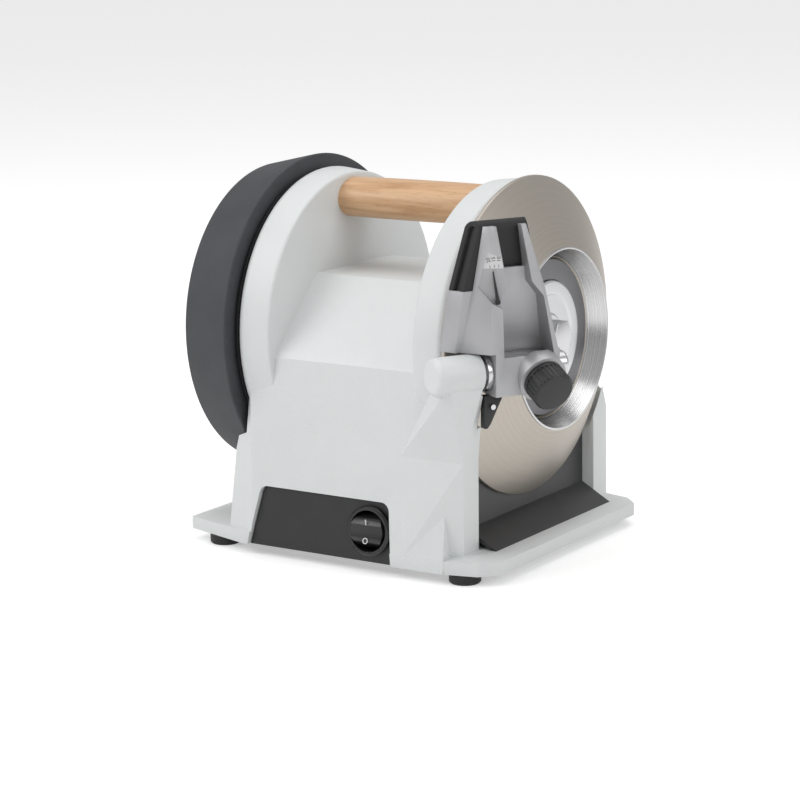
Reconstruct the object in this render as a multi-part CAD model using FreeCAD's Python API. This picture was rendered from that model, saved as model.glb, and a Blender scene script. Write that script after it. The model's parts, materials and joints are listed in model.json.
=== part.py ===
import FreeCAD, Part
import math
import os

# Electric knife sharpener: a cast housing between two wheels, a wooden carrying handle,
# and an adjustable knife guide on a round bar in front of the conical grinding wheel.
# Millimetres, +Z up, -Y is the side with the power switch, +X is the grinding side.
# Everything is drawn about the spindle axis and then moved so that the origin lies on the
# table under the middle of the machine.

V = FreeCAD.Vector
X_AXIS = V(1, 0, 0)
Y_AXIS = V(0, 1, 0)
Z_AXIS = V(0, 0, 1)

# Place of the spindle in the finished frame
SPINDLE_HEIGHT = 103.0
RIM_X = 51.88
SPINDLE_Y = 7.4

# General fits and clearances
RUN_FIT = 0.05
SLIP_GAP = 0.3
BODY_GAP = 0.6
PANEL_GAP = 0.5
CHECK_MARGIN = 1.0

# Grinding wheel, a conical cup
WHEEL_RADIUS = 75.0
CONE_ANGLE = 29.0
FACE_INNER_RADIUS = 42.0
WHEEL_RIM = 1.4
WHEEL_WALL = 4.0
HUB_FACE_RADIUS = 38.0
HUB_FACE_DEPTH = 9.5
HUB_WEB = 4.0
HUB_RECESS = 1.5
FLANGE_RADIUS = 36.5
FLANGE_BORE_RADIUS = 27.0
FLANGE_THICK = 1.6
HUB_DISC_THICK = 3.0
WHEEL_NUT_RADIUS = 9.0
WHEEL_NUT_LENGTH = 7.0

# Honing wheel, a slightly tapered drum
HONE_RADIUS = 79.9
HONE_FAR_RADIUS = 73.6
HONE_WIDTH = 28.2
HONE_GAP = 2.6
HONE_EDGE = 1.0
HONE_FLANGE_RADIUS = 24.0
HONE_FLANGE_THICK = 3.0
HONE_NUT_RADIUS = 8.5
HONE_NUT_LENGTH = 8.0
DUST_RING_RADIUS = 72.5
DUST_RING_BORE = 58.0
DUST_RING_THICK = 0.9

# Spindle and its bearings
SHAFT_RADIUS = 5.0
BEARING_RADIUS = 13.0
BEARING_WIDTH = 8.0
BEARING_INSET = 3.0
BEARING_GROOVE = 0.8
SHAFT_HOLE_RADIUS = 10.0
COLLAR_RADIUS = 8.5
COLLAR_SET = 2.0

# Cast housing
CHEEK_RADIUS = 74.0
CHEEK_DRAFT = 2.0
CHEEK_THICK = 17.5
CHEEK_OUTER_ROUND = 3.5
CHEEK_INNER_ROUND = 1.5
CHEEK_SPAN = 79.0
WHEEL_TO_CHEEK = 0.6
WALL = 4.0
FRONT_BASE_Y = 76.0
FRONT_LIP_Y = 67.3
LIP_Z = -5.0
LIP_BEVEL = 3.0
SHELF_TOP_Y = 32.0
SHELF_TOP_Z = 27.0
BLOCK_CORNER_X = 8.0
BLOCK_CORNER_Y = 5.0
LOWER_CAVITY_TOP = -34.0

# Foot of the casting
FOOT_HEIGHT = 5.0
BASE_EDGE = 6.0
BASE_SLOPE = 1.8
BASE_RIGHT = 21.5
BASE_LEFT = -152.7
BASE_RIGHT_Y = 63.4
BASE_LEFT_Y = 64.8
BASE_CORNER_X = 7.8
BASE_CORNER_Y = 8.0
BASE_TAPER_X = 26.0
BASE_TAPER_LEFT_X = -114.5
FOOT_RADIUS = 7.4
FOOT_INSET_RIGHT = 17.8
FOOT_INSET_LEFT = 18.4
FOOT_EDGE = 1.0
PLATE_THICK = 2.0
SCREW_RADIUS = 2.6
SCREW_HEAD = 1.6

# Swollen corners beside the honing wheel
GUARD_TOP_Z = -22.0
GUARD_WAIST_Z = -54.0
GUARD_WAIST_REACH = 7.0
GUARD_FOOT_REACH = 9.8
GUARD_BACK_Y = 52.0
GUARD_SET = 0.2

# Posts at the grinding side
POST_FACE_X = 4.0
POST_FRONT_Y = 75.5
POST_SIDE_Y = 67.0
POST_BACK_Y = 54.0
POST_CORNER_X = -24.0
POST_STEP_Z = -45.5
POST_LEAN_X = 5.5
POST_LEAN_Y = 8.5
WHEEL_ROOM = 2.0
POST_REAR_TOP_Z = -18.0
NECK_HALF = 6.6
NECK_TOP_Z = -7.0

# Bar that carries the knife guide, parallel to the face of the cone
BAR_RADIUS = 6.0
BAR_CLEAR = 13.5
BAR_Z = -3.5
BAR_ROOT_U = 8.6
BAR_FREE = 44.9
BOSS_LENGTH = 19.0
BOSS_RADIUS = 8.75
CAP_LENGTH = 4.0
CAP_RADIUS = 8.75

# Side trays
TRAY_THICK = 1.6
TRAY_CREASE_RISE = 16.5
TRAY_FLOOR_X = 14.0
TRAY_FLOOR_RISE = 7.4
TRAY_TOP_Z = -36.0

# Front panel and rocker switch
PANEL_TOP_RISE = 29.0
PANEL_TOP_LEFT = -104.3
PANEL_TOP_RIGHT = -32.3
PANEL_LOW_LEFT = -111.5
PANEL_LOW_RIGHT = -30.2
PANEL_DEPTH = 2.2
PANEL_THICK = 2.4
PANEL_CORNER = 4.5
SWITCH_X = -43.2
SWITCH_RISE = 14.6
BEZEL_RADIUS = 11.7
BEZEL_PROUD = 2.6
ROCKER_RADIUS = 8.9
ROCKER_GAP = 0.8
ROCKER_PROUD = 2.4
ROCKER_DISH = 0.45
ROCKER_DISH_CURVE = 2.2
ROCKER_PIVOT_RADIUS = 1.2
SWITCH_BODY_RADIUS = 10.6
SWITCH_DEPTH = 17.0
ROCKER_WELL = 8.0
ROCKER_PIVOT_Y = 4.0
ROCKER_SWING = 8.5
PIVOT_REACH = 10.1

# Carrying handle
HANDLE_Z = 60.0
HANDLE_HALF_Y = 13.0
HANDLE_HALF_Z = 9.5
HANDLE_SWELL = 0.3
HANDLE_SCREW_RADIUS = 2.5
HANDLE_SCREW_HEAD = 5.0
HANDLE_SCREW_SEAT = 11.0
HANDLE_SCREW_LENGTH = 22.0

# Drive
MOTOR_Z = -55.0
MOTOR_RADIUS = 25.0
MOTOR_LENGTH = 44.0
GEARHEAD_LENGTH = 12.0
GEARHEAD_RADIUS = 18.0
MOTOR_SHAFT_RADIUS = 3.0
MOTOR_PULLEY_RADIUS = 7.0
SPINDLE_PULLEY_RADIUS = 17.5
PULLEY_WIDTH = 10.0
PULLEY_RIM = 1.2
DRIVE_BELT_THICK = 1.5
BRACKET_THICK = 2.5
BRACKET_WIDTH = 60.0
BOARD_THICK = 1.6
BOARD_WIDTH = 48.0
BOARD_HEIGHT = 30.0
BOARD_GAP = 6.0
GLAND_RADIUS = 6.5
GLAND_LENGTH = 7.0
GLAND_SEAT = 0.9
GLAND_FLANGE = 2.0
GLAND_NOSE = 5.0
CORD_HOLE_RADIUS = 3.2
GLAND_X = -84.0
GLAND_RISE = 16.0

# Knife guide, drawn about the bar: x along the bar, -y away from the wheel, z up
SLEEVE_RADIUS = 7.8
SLEEVE_START = 1.6
SLEEVE_FLANGE = 2.2
SLEEVE_FLANGE_RADIUS = 8.6
SLEEVE_TAIL = 0.5
GUIDE_START = 4.4
GUIDE_WIDTH = 32.6
GUIDE_BOSS_RADIUS = 9.6
GUIDE_BOTTOM = 10.0
GUIDE_LOW = 9.2
GUIDE_WAIST = 36.8
GUIDE_TOP = 65.5
GUIDE_LOW_LEFT = 1.8
GUIDE_LOW_RIGHT = 36.2
GUIDE_WAIST_LEFT = 3.2
GUIDE_WAIST_RIGHT = 30.1
GUIDE_TOP_LEFT = 3.4
GUIDE_TOP_RIGHT = 21.3
GUIDE_FRONT = 10.0
GUIDE_WAIST_FRONT = 9.0
GUIDE_TOP_FRONT = 8.0
CHEEK_SLOPE_LEFT = 0.65
CHEEK_SLOPE_RIGHT = 0.4
BELT_LEAN = 7.5
BELT_BACK = 10.8
BELT_DEPTH = 8.0
BELT_WALL = 2.2
BELT_FOOT = 11.0
BELT_TOP = 68.5
BELT_LOW_LEFT = -6.6
BELT_LOW_RIGHT = 32.6
BELT_TOP_LEFT = -0.8
BELT_TOP_RIGHT = 24.8
BELT_SLOPE = 0.4
BELT_RECESS = 2.0
COLUMN_LOW_LEFT = -8.2
COLUMN_LOW_RIGHT = 38.0
POCKET_FLOOR = 7.2
POCKET_LEFT = 8.6
POCKET_RIGHT = 34.0
POCKET_BEND = 33.0
POCKET_BEND_LEFT = 8.4
POCKET_BEND_RIGHT = 29.5
POCKET_KNEE = 40.0
POCKET_KNEE_LEFT = 10.9
POCKET_KNEE_RIGHT = 23.6
POCKET_TOP_LEFT = 6.0
POCKET_TOP_RIGHT = 18.6
POCKET_BACK_TOP = 48.0
POCKET_BACK_WALL = 1.6
KNOB_X = 22.2
KNOB_Z = -3.5
KNOB_TILT = 25.0
KNOB_SEAT = 13.0
KNOB_RADIUS = 9.6
KNOB_LENGTH = 10.5
KNOB_RIBS = 28
KNOB_RIB_DEPTH = 0.7
KNOB_BOSS_RADIUS = 11.3
STUD_RADIUS = 2.5
STUD_LENGTH = 3.0
WINDOW_X = 3.3
WINDOW_Y = -8.4
WINDOW_TURN = 32.0
WINDOW_DEPTH = 3.2
WINDOW_LOW = 29.0
WINDOW_MID = 38.8
WINDOW_HIGH = 54.5
WINDOW_FALL = 2.7
WINDOW_LEFT = -6.0
WINDOW_TOP_LEFT = -1.6
WINDOW_TOP_RIGHT = 4.3
WINDOW_RIGHT = 6.3
WINDOW_FOOT_RIGHT = 4.6
WINDOW_FOOT_LEFT = 0.6
SCALE_HEIGHT = 7.5
SCALE_THICK = 0.6
POINTER_X = 2.7
POINTER_Z = 32.2
POINTER_LEAN = 8.5
POINTER_LENGTH = 13.6
POINTER_HALF = 0.8
POINTER_TIP_HALF = 0.25
POINTER_PIVOT_RADIUS = 1.2
POINTER_THICK = 0.8
CLIP_X = 1.8
CLIP_WIDTH = 10.0
CLIP_LENGTH = 15.0
CLIP_FOOT = 3.2
CLIP_SLANT = 2.0
CLIP_THICK = 4.0
CLIP_Y = -4.0
CLIP_PIN_RADIUS = 1.2
CLIP_PIN_LENGTH = 4.0

# Worked out from the sizes above
CONE = math.radians(CONE_ANGLE)
FACE_INNER_X = (WHEEL_RADIUS - FACE_INNER_RADIUS) * math.tan(CONE)
CHEEK_R_OUT = -WHEEL_RIM - WHEEL_TO_CHEEK
CHEEK_R_IN = CHEEK_R_OUT - CHEEK_THICK
CHEEK_L_IN = CHEEK_R_IN - CHEEK_SPAN
CHEEK_L_OUT = CHEEK_L_IN - CHEEK_THICK
HONE_RIGHT = CHEEK_L_OUT - HONE_GAP
HONE_LEFT = HONE_RIGHT - HONE_WIDTH
FLOOR_Z = -SPINDLE_HEIGHT + FOOT_HEIGHT
PANEL_TOP_Z = FLOOR_Z + PANEL_TOP_RISE
SWITCH_Z = FLOOR_Z + SWITCH_RISE
TRAY_CREASE_Z = FLOOR_Z + TRAY_CREASE_RISE
TRAY_FLOOR_Z = FLOOR_Z + TRAY_FLOOR_RISE
GLAND_Z = FLOOR_Z + GLAND_RISE
BAR_DIR = V(math.sin(CONE), math.cos(CONE), 0)
BAR_OUT = V(math.cos(CONE), -math.sin(CONE), 0)
BAR_ROOT = V(0, -WHEEL_RADIUS, BAR_Z) + BAR_DIR * BAR_ROOT_U + BAR_OUT * BAR_CLEAR


def ring(radius, bore, x0, x1):
    """A ring about the spindle axis, from x0 to x1; bore 0 makes a disc."""
    body = Part.makeCylinder(radius, x1 - x0, V(x0, 0, 0), X_AXIS)
    if bore > 0:
        body = body.cut(Part.makeCylinder(bore, x1 - x0, V(x0, 0, 0), X_AXIS))
    return body


def spun(points):
    """Turns a closed outline of (x, radius) pairs about the spindle axis."""
    corners = [V(x, 0, radius) for x, radius in points]
    face = Part.Face(Part.makePolygon(corners + corners[:1]))
    return face.revolve(V(0, 0, 0), X_AXIS, 360)


def side_prism(points, x0, x1):
    """Extrudes a closed outline of (y, z) pairs along X."""
    corners = [V(x0, y, z) for y, z in points]
    face = Part.Face(Part.makePolygon(corners + corners[:1]))
    return face.extrude(V(x1 - x0, 0, 0))


def plan_prism(points, z0, z1):
    """Extrudes a closed outline of (x, y) pairs upwards."""
    corners = [V(x, y, z0) for x, y in points]
    face = Part.Face(Part.makePolygon(corners + corners[:1]))
    return face.extrude(V(0, 0, z1 - z0))


def front_prism(points, y0, y1):
    """Extrudes a closed outline of (x, z) pairs along Y."""
    corners = [V(x, y0, z) for x, z in points]
    face = Part.Face(Part.makePolygon(corners + corners[:1]))
    return face.extrude(V(0, y1 - y0, 0))


def ruled(low, high):
    """A solid between two outlines of the same number of 3-D points, with flat facets."""
    count = len(low)
    faces = [Part.Face(Part.makePolygon(outline + outline[:1])) for outline in (low, high)]
    for k in range(count):
        a, b = low[k], low[(k + 1) % count]
        c, d = high[(k + 1) % count], high[k]
        for corners in ([a, b, c], [a, c, d]):
            faces.append(Part.Face(Part.makePolygon(corners + corners[:1])))
    solid = Part.Solid(Part.Shell(faces))
    if solid.Volume < 0:
        solid.reverse()
    return solid.removeSplitter()


def box(x0, x1, y0, y1, z0, z1):
    return Part.makeBox(x1 - x0, y1 - y0, z1 - z0, V(x0, y0, z0))


def round_edges(shape, radius, wanted):
    """Rounds the edges for which wanted(edge) is true."""
    edges = [edge for edge in shape.Edges if wanted(edge)]
    return shape.makeFillet(radius, edges)


def flat_mirror_y(shape):
    return shape.mirror(V(0, 0, 0), Y_AXIS)


def cyl_y(radius, x, z, y0, y1):
    return Part.makeCylinder(radius, y1 - y0, V(x, y0, z), Y_AXIS)


def on_bar(shape):
    """Moves a shape from the guide's own frame to its place on the bar."""
    placed = shape.copy()
    placed.rotate(V(0, 0, 0), Z_AXIS, 90 - CONE_ANGLE)
    placed.translate(BAR_ROOT)
    return placed


def front_y(z, inset=0.0):
    """Distance of the sloping front face from the spindle axis at height z."""
    share = (z - FLOOR_Z) / (LIP_Z - FLOOR_Z)
    return FRONT_BASE_Y + (FRONT_LIP_Y - FRONT_BASE_Y) * share - inset


def base_outline(inset=0.0):
    """The foot's outline seen from above, drawn inwards by inset."""
    right = BASE_RIGHT - inset
    left = BASE_LEFT + inset
    front = FRONT_BASE_Y - inset
    side = BASE_RIGHT_Y - inset * 0.6
    side_left = BASE_LEFT_Y - inset
    corner_y = side + BASE_CORNER_Y
    near = [
        (right, -side),
        (right - BASE_CORNER_X, -corner_y),
        (right - BASE_TAPER_X, -front),
        (BASE_TAPER_LEFT_X, -front),
        (left, -side_left),
    ]
    far = [(x, -y) for x, y in reversed(near)]
    return near + far


def make_block():
    """The middle of the housing, with its sloping shelf."""
    outline = [
        (-front_y(FLOOR_Z), FLOOR_Z),
        (-front_y(LIP_Z - LIP_BEVEL), LIP_Z - LIP_BEVEL),
        (-FRONT_LIP_Y + LIP_BEVEL * 0.6, LIP_Z),
        (-SHELF_TOP_Y, SHELF_TOP_Z),
        (SHELF_TOP_Y, SHELF_TOP_Z),
        (FRONT_LIP_Y - LIP_BEVEL * 0.6, LIP_Z),
        (front_y(LIP_Z - LIP_BEVEL), LIP_Z - LIP_BEVEL),
        (front_y(FLOOR_Z), FLOOR_Z),
    ]
    block = side_prism(outline, CHEEK_L_OUT, CHEEK_R_OUT)
    reach = FRONT_BASE_Y + CHECK_MARGIN
    cut_depth = BLOCK_CORNER_Y * 2
    for side in (-1, 1):
        corner = [
            (CHEEK_L_OUT - CHECK_MARGIN, side * (FRONT_LIP_Y - cut_depth)),
            (CHEEK_L_OUT, side * (FRONT_LIP_Y - BLOCK_CORNER_Y)),
            (CHEEK_L_OUT + BLOCK_CORNER_X, side * (FRONT_BASE_Y + CHECK_MARGIN)),
            (CHEEK_L_OUT - CHECK_MARGIN, side * (reach + CHECK_MARGIN)),
        ]
        block = block.cut(plan_prism(corner, FLOOR_Z, SHELF_TOP_Z))
    return block


def make_cheek(x_in, x_out):
    """One of the two round side plates; its rim tapers towards the handle."""
    draft = CHEEK_DRAFT
    plate = spun([(x_in, 0), (x_in, CHEEK_RADIUS - draft), (x_out, CHEEK_RADIUS), (x_out, 0)])
    outer = round_edges(plate, CHEEK_OUTER_ROUND, lambda e: abs(e.BoundBox.XMin - x_out) < 0.1
                        and abs(e.BoundBox.XMax - x_out) < 0.1 and e.BoundBox.ZMax > CHEEK_RADIUS / 2)
    return round_edges(outer, CHEEK_INNER_ROUND, lambda e: abs(e.BoundBox.XMin - x_in) < 0.1
                       and abs(e.BoundBox.XMax - x_in) < 0.1 and e.BoundBox.ZMax > CHEEK_RADIUS / 2)


def guard_quad(z, reach):
    """Section of the left front corner at height z, reach beyond the cheek."""
    y = -front_y(z)
    inner = CHEEK_L_OUT + BLOCK_CORNER_X - CHECK_MARGIN
    return [V(inner, y + GUARD_SET, z), V(CHEEK_L_OUT - reach, y + BLOCK_CORNER_Y, z),
            V(CHEEK_L_OUT - reach, -GUARD_BACK_Y, z), V(inner, -GUARD_BACK_Y, z)]


def make_guard():
    """Corner of the housing that swells outwards beside the honing wheel, below it."""
    head = guard_quad(GUARD_TOP_Z, 0.0)
    waist = guard_quad(GUARD_WAIST_Z, GUARD_WAIST_REACH)
    foot = guard_quad(FLOOR_Z + BASE_EDGE / 2, GUARD_FOOT_REACH)
    swell = ruled(waist, head).fuse(ruled(foot, waist))
    room = ring(HONE_RADIUS + WHEEL_ROOM, 0, HONE_LEFT, CHEEK_L_OUT)
    return swell.cut(room)


def post_quad(z, shift_x=0.0, shift_y=0.0):
    """Section of a side post at height z, seen from above; the shifts lean its outer side."""
    return [
        V(POST_CORNER_X, -POST_FRONT_Y, z),
        V(POST_FACE_X + shift_x, -POST_SIDE_Y - shift_y, z),
        V(POST_FACE_X + shift_x, -POST_BACK_Y - shift_y, z),
        V(POST_CORNER_X, -POST_BACK_Y, z),
    ]


def wheel_space():
    """Room for the grinding wheel to turn, cut out of the posts."""
    room = WHEEL_ROOM
    return spun([
        (CHEEK_R_OUT, 0),
        (CHEEK_R_OUT, WHEEL_RADIUS + room),
        (room / 2, WHEEL_RADIUS + room),
        (FACE_INNER_X + room, FACE_INNER_RADIUS + room),
        (FACE_INNER_X + room, 0),
    ])


def make_front_post():
    """The leaning post that carries the bar."""
    step = post_quad(POST_STEP_Z, POST_LEAN_X, POST_LEAN_Y)
    lower = ruled(post_quad(FLOOR_Z + BASE_EDGE - CHECK_MARGIN), step)
    neck = []
    for along, out in ((-BOSS_LENGTH + 2, -NECK_HALF), (-BOSS_LENGTH + 2, NECK_HALF),
                       (0, NECK_HALF), (0, -NECK_HALF)):
        spot = BAR_ROOT + BAR_DIR * along + BAR_OUT * out
        neck.append(V(spot.x, spot.y, NECK_TOP_Z))
    upper = ruled(step, neck)
    room = Part.makeCylinder(GUIDE_BOSS_RADIUS + CHECK_MARGIN, BAR_FREE, BAR_ROOT, BAR_DIR)
    swing = Part.makeCylinder(GUIDE_BOTTOM + CLIP_LENGTH + CHECK_MARGIN, BAR_FREE,
                              BAR_ROOT + BAR_DIR * (CLIP_X - BODY_GAP), BAR_DIR)
    boss = Part.makeCylinder(BOSS_RADIUS, BOSS_LENGTH, BAR_ROOT - BAR_DIR * BOSS_LENGTH, BAR_DIR)
    return lower.fuse(upper).cut(wheel_space()).cut(room).cut(swing).fuse(boss)


def make_rear_post():
    """The plain post at the back of the grinding side."""
    lower = ruled(post_quad(FLOOR_Z + BASE_EDGE - CHECK_MARGIN), post_quad(POST_STEP_Z))
    top = [V(p.x, p.y, POST_REAR_TOP_Z) for p in post_quad(POST_STEP_Z)]
    for index in (1, 2):
        top[index].x = CHEEK_R_OUT
    top[1].y = -POST_SIDE_Y
    upper = ruled(post_quad(POST_STEP_Z), top)
    return flat_mirror_y(lower.fuse(upper).cut(wheel_space()))


def cavity_outline(top_z, inset):
    return [(-front_y(FLOOR_Z, inset), FLOOR_Z - CHECK_MARGIN), (-front_y(top_z, inset), top_z),
            (front_y(top_z, inset), top_z), (front_y(FLOOR_Z, inset), FLOOR_Z - CHECK_MARGIN)]


def tray_outline(grow):
    """Side view (x, z) of the right tray's solid, thicker by grow all round."""
    top = TRAY_TOP_Z + grow
    return [
        (CHEEK_R_OUT - TRAY_THICK - grow, top),
        (CHEEK_R_OUT, top),
        (CHEEK_R_OUT, TRAY_CREASE_Z),
        (TRAY_FLOOR_X, TRAY_FLOOR_Z),
        (TRAY_FLOOR_X + grow, TRAY_FLOOR_Z - TRAY_THICK - grow),
        (CHEEK_R_OUT - TRAY_THICK - grow, TRAY_CREASE_Z - TRAY_THICK - grow),
    ]


def tray_solid(grow):
    half = POST_BACK_Y - PANEL_GAP + grow
    return front_prism(tray_outline(grow), -half, half)


def panel_outline(inset):
    low = FLOOR_Z
    return [
        (PANEL_LOW_LEFT + inset, low),
        (PANEL_TOP_LEFT + inset, PANEL_TOP_Z - inset),
        (PANEL_TOP_RIGHT - inset, PANEL_TOP_Z - inset),
        (PANEL_LOW_RIGHT - inset, low),
    ]


def panel_slab(inset, depth, thick):
    """A slab that lies parallel to the front face, depth below it."""
    reach = FRONT_BASE_Y + CHECK_MARGIN
    slab = front_prism(panel_outline(inset), -reach, -reach / 2)
    corners = [e for e in slab.Edges if abs(e.BoundBox.YLength - reach / 2) < 0.01
               and e.BoundBox.ZMin > FLOOR_Z + CHECK_MARGIN]
    slab = slab.makeFillet(PANEL_CORNER - inset, corners)
    high = PANEL_TOP_Z + CHECK_MARGIN
    low = FLOOR_Z - CHECK_MARGIN
    layer = side_prism([
        (-front_y(low, depth), low),
        (-front_y(high, depth), high),
        (-front_y(high, depth + thick), high),
        (-front_y(low, depth + thick), low),
    ], PANEL_LOW_LEFT - CHECK_MARGIN, PANEL_LOW_RIGHT + CHECK_MARGIN)
    return slab.common(layer)


def make_housing():
    body = plan_prism(base_outline(), FLOOR_Z, FLOOR_Z + BASE_EDGE)
    crown = ruled([V(x, y, FLOOR_Z + BASE_EDGE) for x, y in base_outline()],
                  [V(x, y, FLOOR_Z + BASE_EDGE + BASE_SLOPE) for x, y in base_outline(7.5)])
    body = body.fuse([crown, make_block(), make_cheek(CHEEK_R_IN, CHEEK_R_OUT),
                      make_cheek(CHEEK_L_IN, CHEEK_L_OUT), make_front_post(), make_rear_post(),
                      make_guard(), flat_mirror_y(make_guard())])
    inner = cavity_outline(SHELF_TOP_Z - WALL, WALL)
    slope = WALL * 0.7
    upper = [inner[0], (-front_y(LIP_Z, WALL + slope), LIP_Z - WALL),
             (-SHELF_TOP_Y + slope, SHELF_TOP_Z - WALL), (SHELF_TOP_Y - slope, SHELF_TOP_Z - WALL),
             (front_y(LIP_Z, WALL + slope), LIP_Z - WALL), inner[3]]
    body = body.cut(side_prism(upper, CHEEK_L_IN + WALL / 2, CHEEK_R_IN - WALL / 2))
    low = cavity_outline(LOWER_CAVITY_TOP, WALL + BLOCK_CORNER_Y)
    body = body.cut(side_prism(low, CHEEK_L_OUT + WALL, CHEEK_R_OUT - WALL))
    body = body.cut(tray_solid(PANEL_GAP))
    body = body.cut(panel_slab(0, -CHECK_MARGIN * 2, WALL * 4))
    for x_side in (CHEEK_R_IN, CHEEK_L_OUT):
        body = body.cut(ring(SHAFT_HOLE_RADIUS, 0, x_side - WALL, x_side + CHEEK_THICK + WALL))
    body = body.cut(ring(BEARING_RADIUS, 0, CHEEK_R_IN + BEARING_INSET,
                         CHEEK_R_IN + BEARING_INSET + BEARING_WIDTH))
    body = body.cut(ring(BEARING_RADIUS, 0, CHEEK_L_IN - BEARING_INSET - BEARING_WIDTH,
                         CHEEK_L_IN - BEARING_INSET))
    bore = Part.makeCylinder(BAR_RADIUS, BOSS_LENGTH, BAR_ROOT - BAR_DIR * BOSS_LENGTH, BAR_DIR)
    body = body.cut(bore)
    body = body.cut(cyl_y(GLAND_RADIUS - WALL / 4, GLAND_X, GLAND_Z, FRONT_BASE_Y / 2, FRONT_BASE_Y))
    return body


def make_base_plate():
    """Steel plate that closes the housing from below."""
    plate = plan_prism(base_outline(WALL * 2.5), FLOOR_Z - PLATE_THICK, FLOOR_Z)
    for x, y in foot_places():
        spot = V(x, y, FLOOR_Z - PLATE_THICK)
        plate = plate.cut(Part.makeCylinder(FOOT_RADIUS + SLIP_GAP, PLATE_THICK, spot))
    return plate


def foot_places():
    """Centres of the feet, under the corners of the base."""
    right = BASE_RIGHT - FOOT_INSET_RIGHT
    left = BASE_LEFT + FOOT_INSET_LEFT
    right_y = BASE_RIGHT_Y + BASE_CORNER_Y - FOOT_EDGE - FOOT_RADIUS / 2
    left_y = BASE_LEFT_Y - FOOT_EDGE
    return [(x, side * (y - FOOT_EDGE)) for x, y in ((right, right_y), (left, left_y)) for side in (-1, 1)]


def make_feet():
    feet = []
    for x, y in foot_places():
        foot = Part.makeCylinder(FOOT_RADIUS, FOOT_HEIGHT, V(x, y, -SPINDLE_HEIGHT))
        feet.append(foot.makeChamfer(0.8, [e for e in foot.Edges if e.BoundBox.ZMax < -SPINDLE_HEIGHT + 0.1]))
    return Part.makeCompound(feet)


def make_base_screws():
    """Screws that hold the plate, in a row along each long side."""
    screws = []
    inset = WALL * 5
    for x in (CHEEK_R_IN, (CHEEK_R_IN + CHEEK_L_IN) / 2, CHEEK_L_IN):
        for side in (-1, 1):
            spot = V(x, side * (FRONT_BASE_Y - inset), FLOOR_Z - PLATE_THICK - SCREW_HEAD)
            screws.append(Part.makeCylinder(SCREW_RADIUS, SCREW_HEAD, spot))
    return Part.makeCompound(screws)


def oval_wire(x, half_y, half_z):
    """An upright ellipse about the handle's axis, for the loft."""
    oval = Part.Ellipse(V(0, 0, 0), half_y, half_z).toShape()
    oval.rotate(V(0, 0, 0), Z_AXIS, 90)
    oval.rotate(V(0, 0, 0), Y_AXIS, 90)
    oval.translate(V(x, 0, HANDLE_Z))
    return Part.Wire(oval)


def make_handle():
    """Oval wooden grip between the cheeks, slightly fuller in the middle."""
    wires = []
    for share, swell in ((0, 0.0), (0.5, HANDLE_SWELL), (1, 0.0)):
        x = CHEEK_L_IN + CHEEK_SPAN * share
        wires.append(oval_wire(x, HANDLE_HALF_Y + swell, HANDLE_HALF_Z + swell))
    grip = Part.makeLoft(wires, True, False)
    for x in (CHEEK_L_IN, CHEEK_R_IN - HANDLE_SCREW_LENGTH):
        hole = Part.makeCylinder(HANDLE_SCREW_RADIUS, HANDLE_SCREW_LENGTH, V(x, 0, HANDLE_Z), X_AXIS)
        grip = grip.cut(hole)
    return grip


def make_handle_screws():
    """Screws through the cheeks into the ends of the grip, heads sunk in the cheeks."""
    screws = []
    for x_in, way in ((CHEEK_L_IN, -1), (CHEEK_R_IN, 1)):
        tip = x_in - way * HANDLE_SCREW_LENGTH
        reach = HANDLE_SCREW_LENGTH + HANDLE_SCREW_SEAT
        axis = V(way, 0, 0)
        shank = Part.makeCylinder(HANDLE_SCREW_RADIUS, reach, V(tip, 0, HANDLE_Z), axis)
        seat = V(x_in + way * HANDLE_SCREW_SEAT, 0, HANDLE_Z)
        head = Part.makeCylinder(HANDLE_SCREW_HEAD, HANDLE_SCREW_RADIUS, seat, axis)
        screws.append(shank.fuse(head).removeSplitter())
    return Part.makeCompound(screws)


def cut_handle_seats(body):
    for x_in, way in ((CHEEK_L_IN, -1), (CHEEK_R_IN, 1)):
        axis = V(way, 0, 0)
        body = body.cut(Part.makeCylinder(HANDLE_SCREW_RADIUS, CHEEK_THICK, V(x_in, 0, HANDLE_Z), axis))
        seat = V(x_in + way * HANDLE_SCREW_SEAT, 0, HANDLE_Z)
        body = body.cut(Part.makeCylinder(HANDLE_SCREW_HEAD, CHEEK_THICK, seat, axis))
    return body


def make_diamond_wheel():
    """Conical cup wheel with a funnel-shaped bore wall and a flat web."""
    rim = WHEEL_RADIUS
    web = HUB_FACE_DEPTH - HUB_WEB
    back_x = FACE_INNER_X - WHEEL_WALL * 1.6
    return spun([
        (-WHEEL_RIM, rim),
        (0, rim),
        (FACE_INNER_X, FACE_INNER_RADIUS),
        (HUB_FACE_DEPTH, HUB_FACE_RADIUS),
        (HUB_FACE_DEPTH - HUB_RECESS, HUB_FACE_RADIUS - HUB_RECESS),
        (HUB_FACE_DEPTH - HUB_RECESS, SHAFT_RADIUS),
        (web - HUB_RECESS, SHAFT_RADIUS),
        (web - HUB_RECESS, HUB_FACE_RADIUS),
        (back_x, FACE_INNER_RADIUS + WHEEL_WALL / 2),
        (-WHEEL_RIM, rim - WHEEL_WALL),
    ])


def make_wheel_flange():
    """Dark ring pressed against the web."""
    seat = HUB_FACE_DEPTH - HUB_RECESS
    return ring(FLANGE_RADIUS, FLANGE_BORE_RADIUS, seat, seat + FLANGE_THICK)


def make_hub_disc():
    """Light clamping disc that holds the wheel against the spindle's collar."""
    seat = HUB_FACE_DEPTH - HUB_RECESS
    lip = HUB_DISC_THICK
    return spun([
        (seat, SHAFT_RADIUS),
        (seat, FLANGE_BORE_RADIUS - SLIP_GAP),
        (seat + lip - 1, FLANGE_BORE_RADIUS - SLIP_GAP),
        (seat + lip, FLANGE_BORE_RADIUS - SLIP_GAP - 1),
        (seat + lip, SHAFT_RADIUS),
    ])


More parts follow.
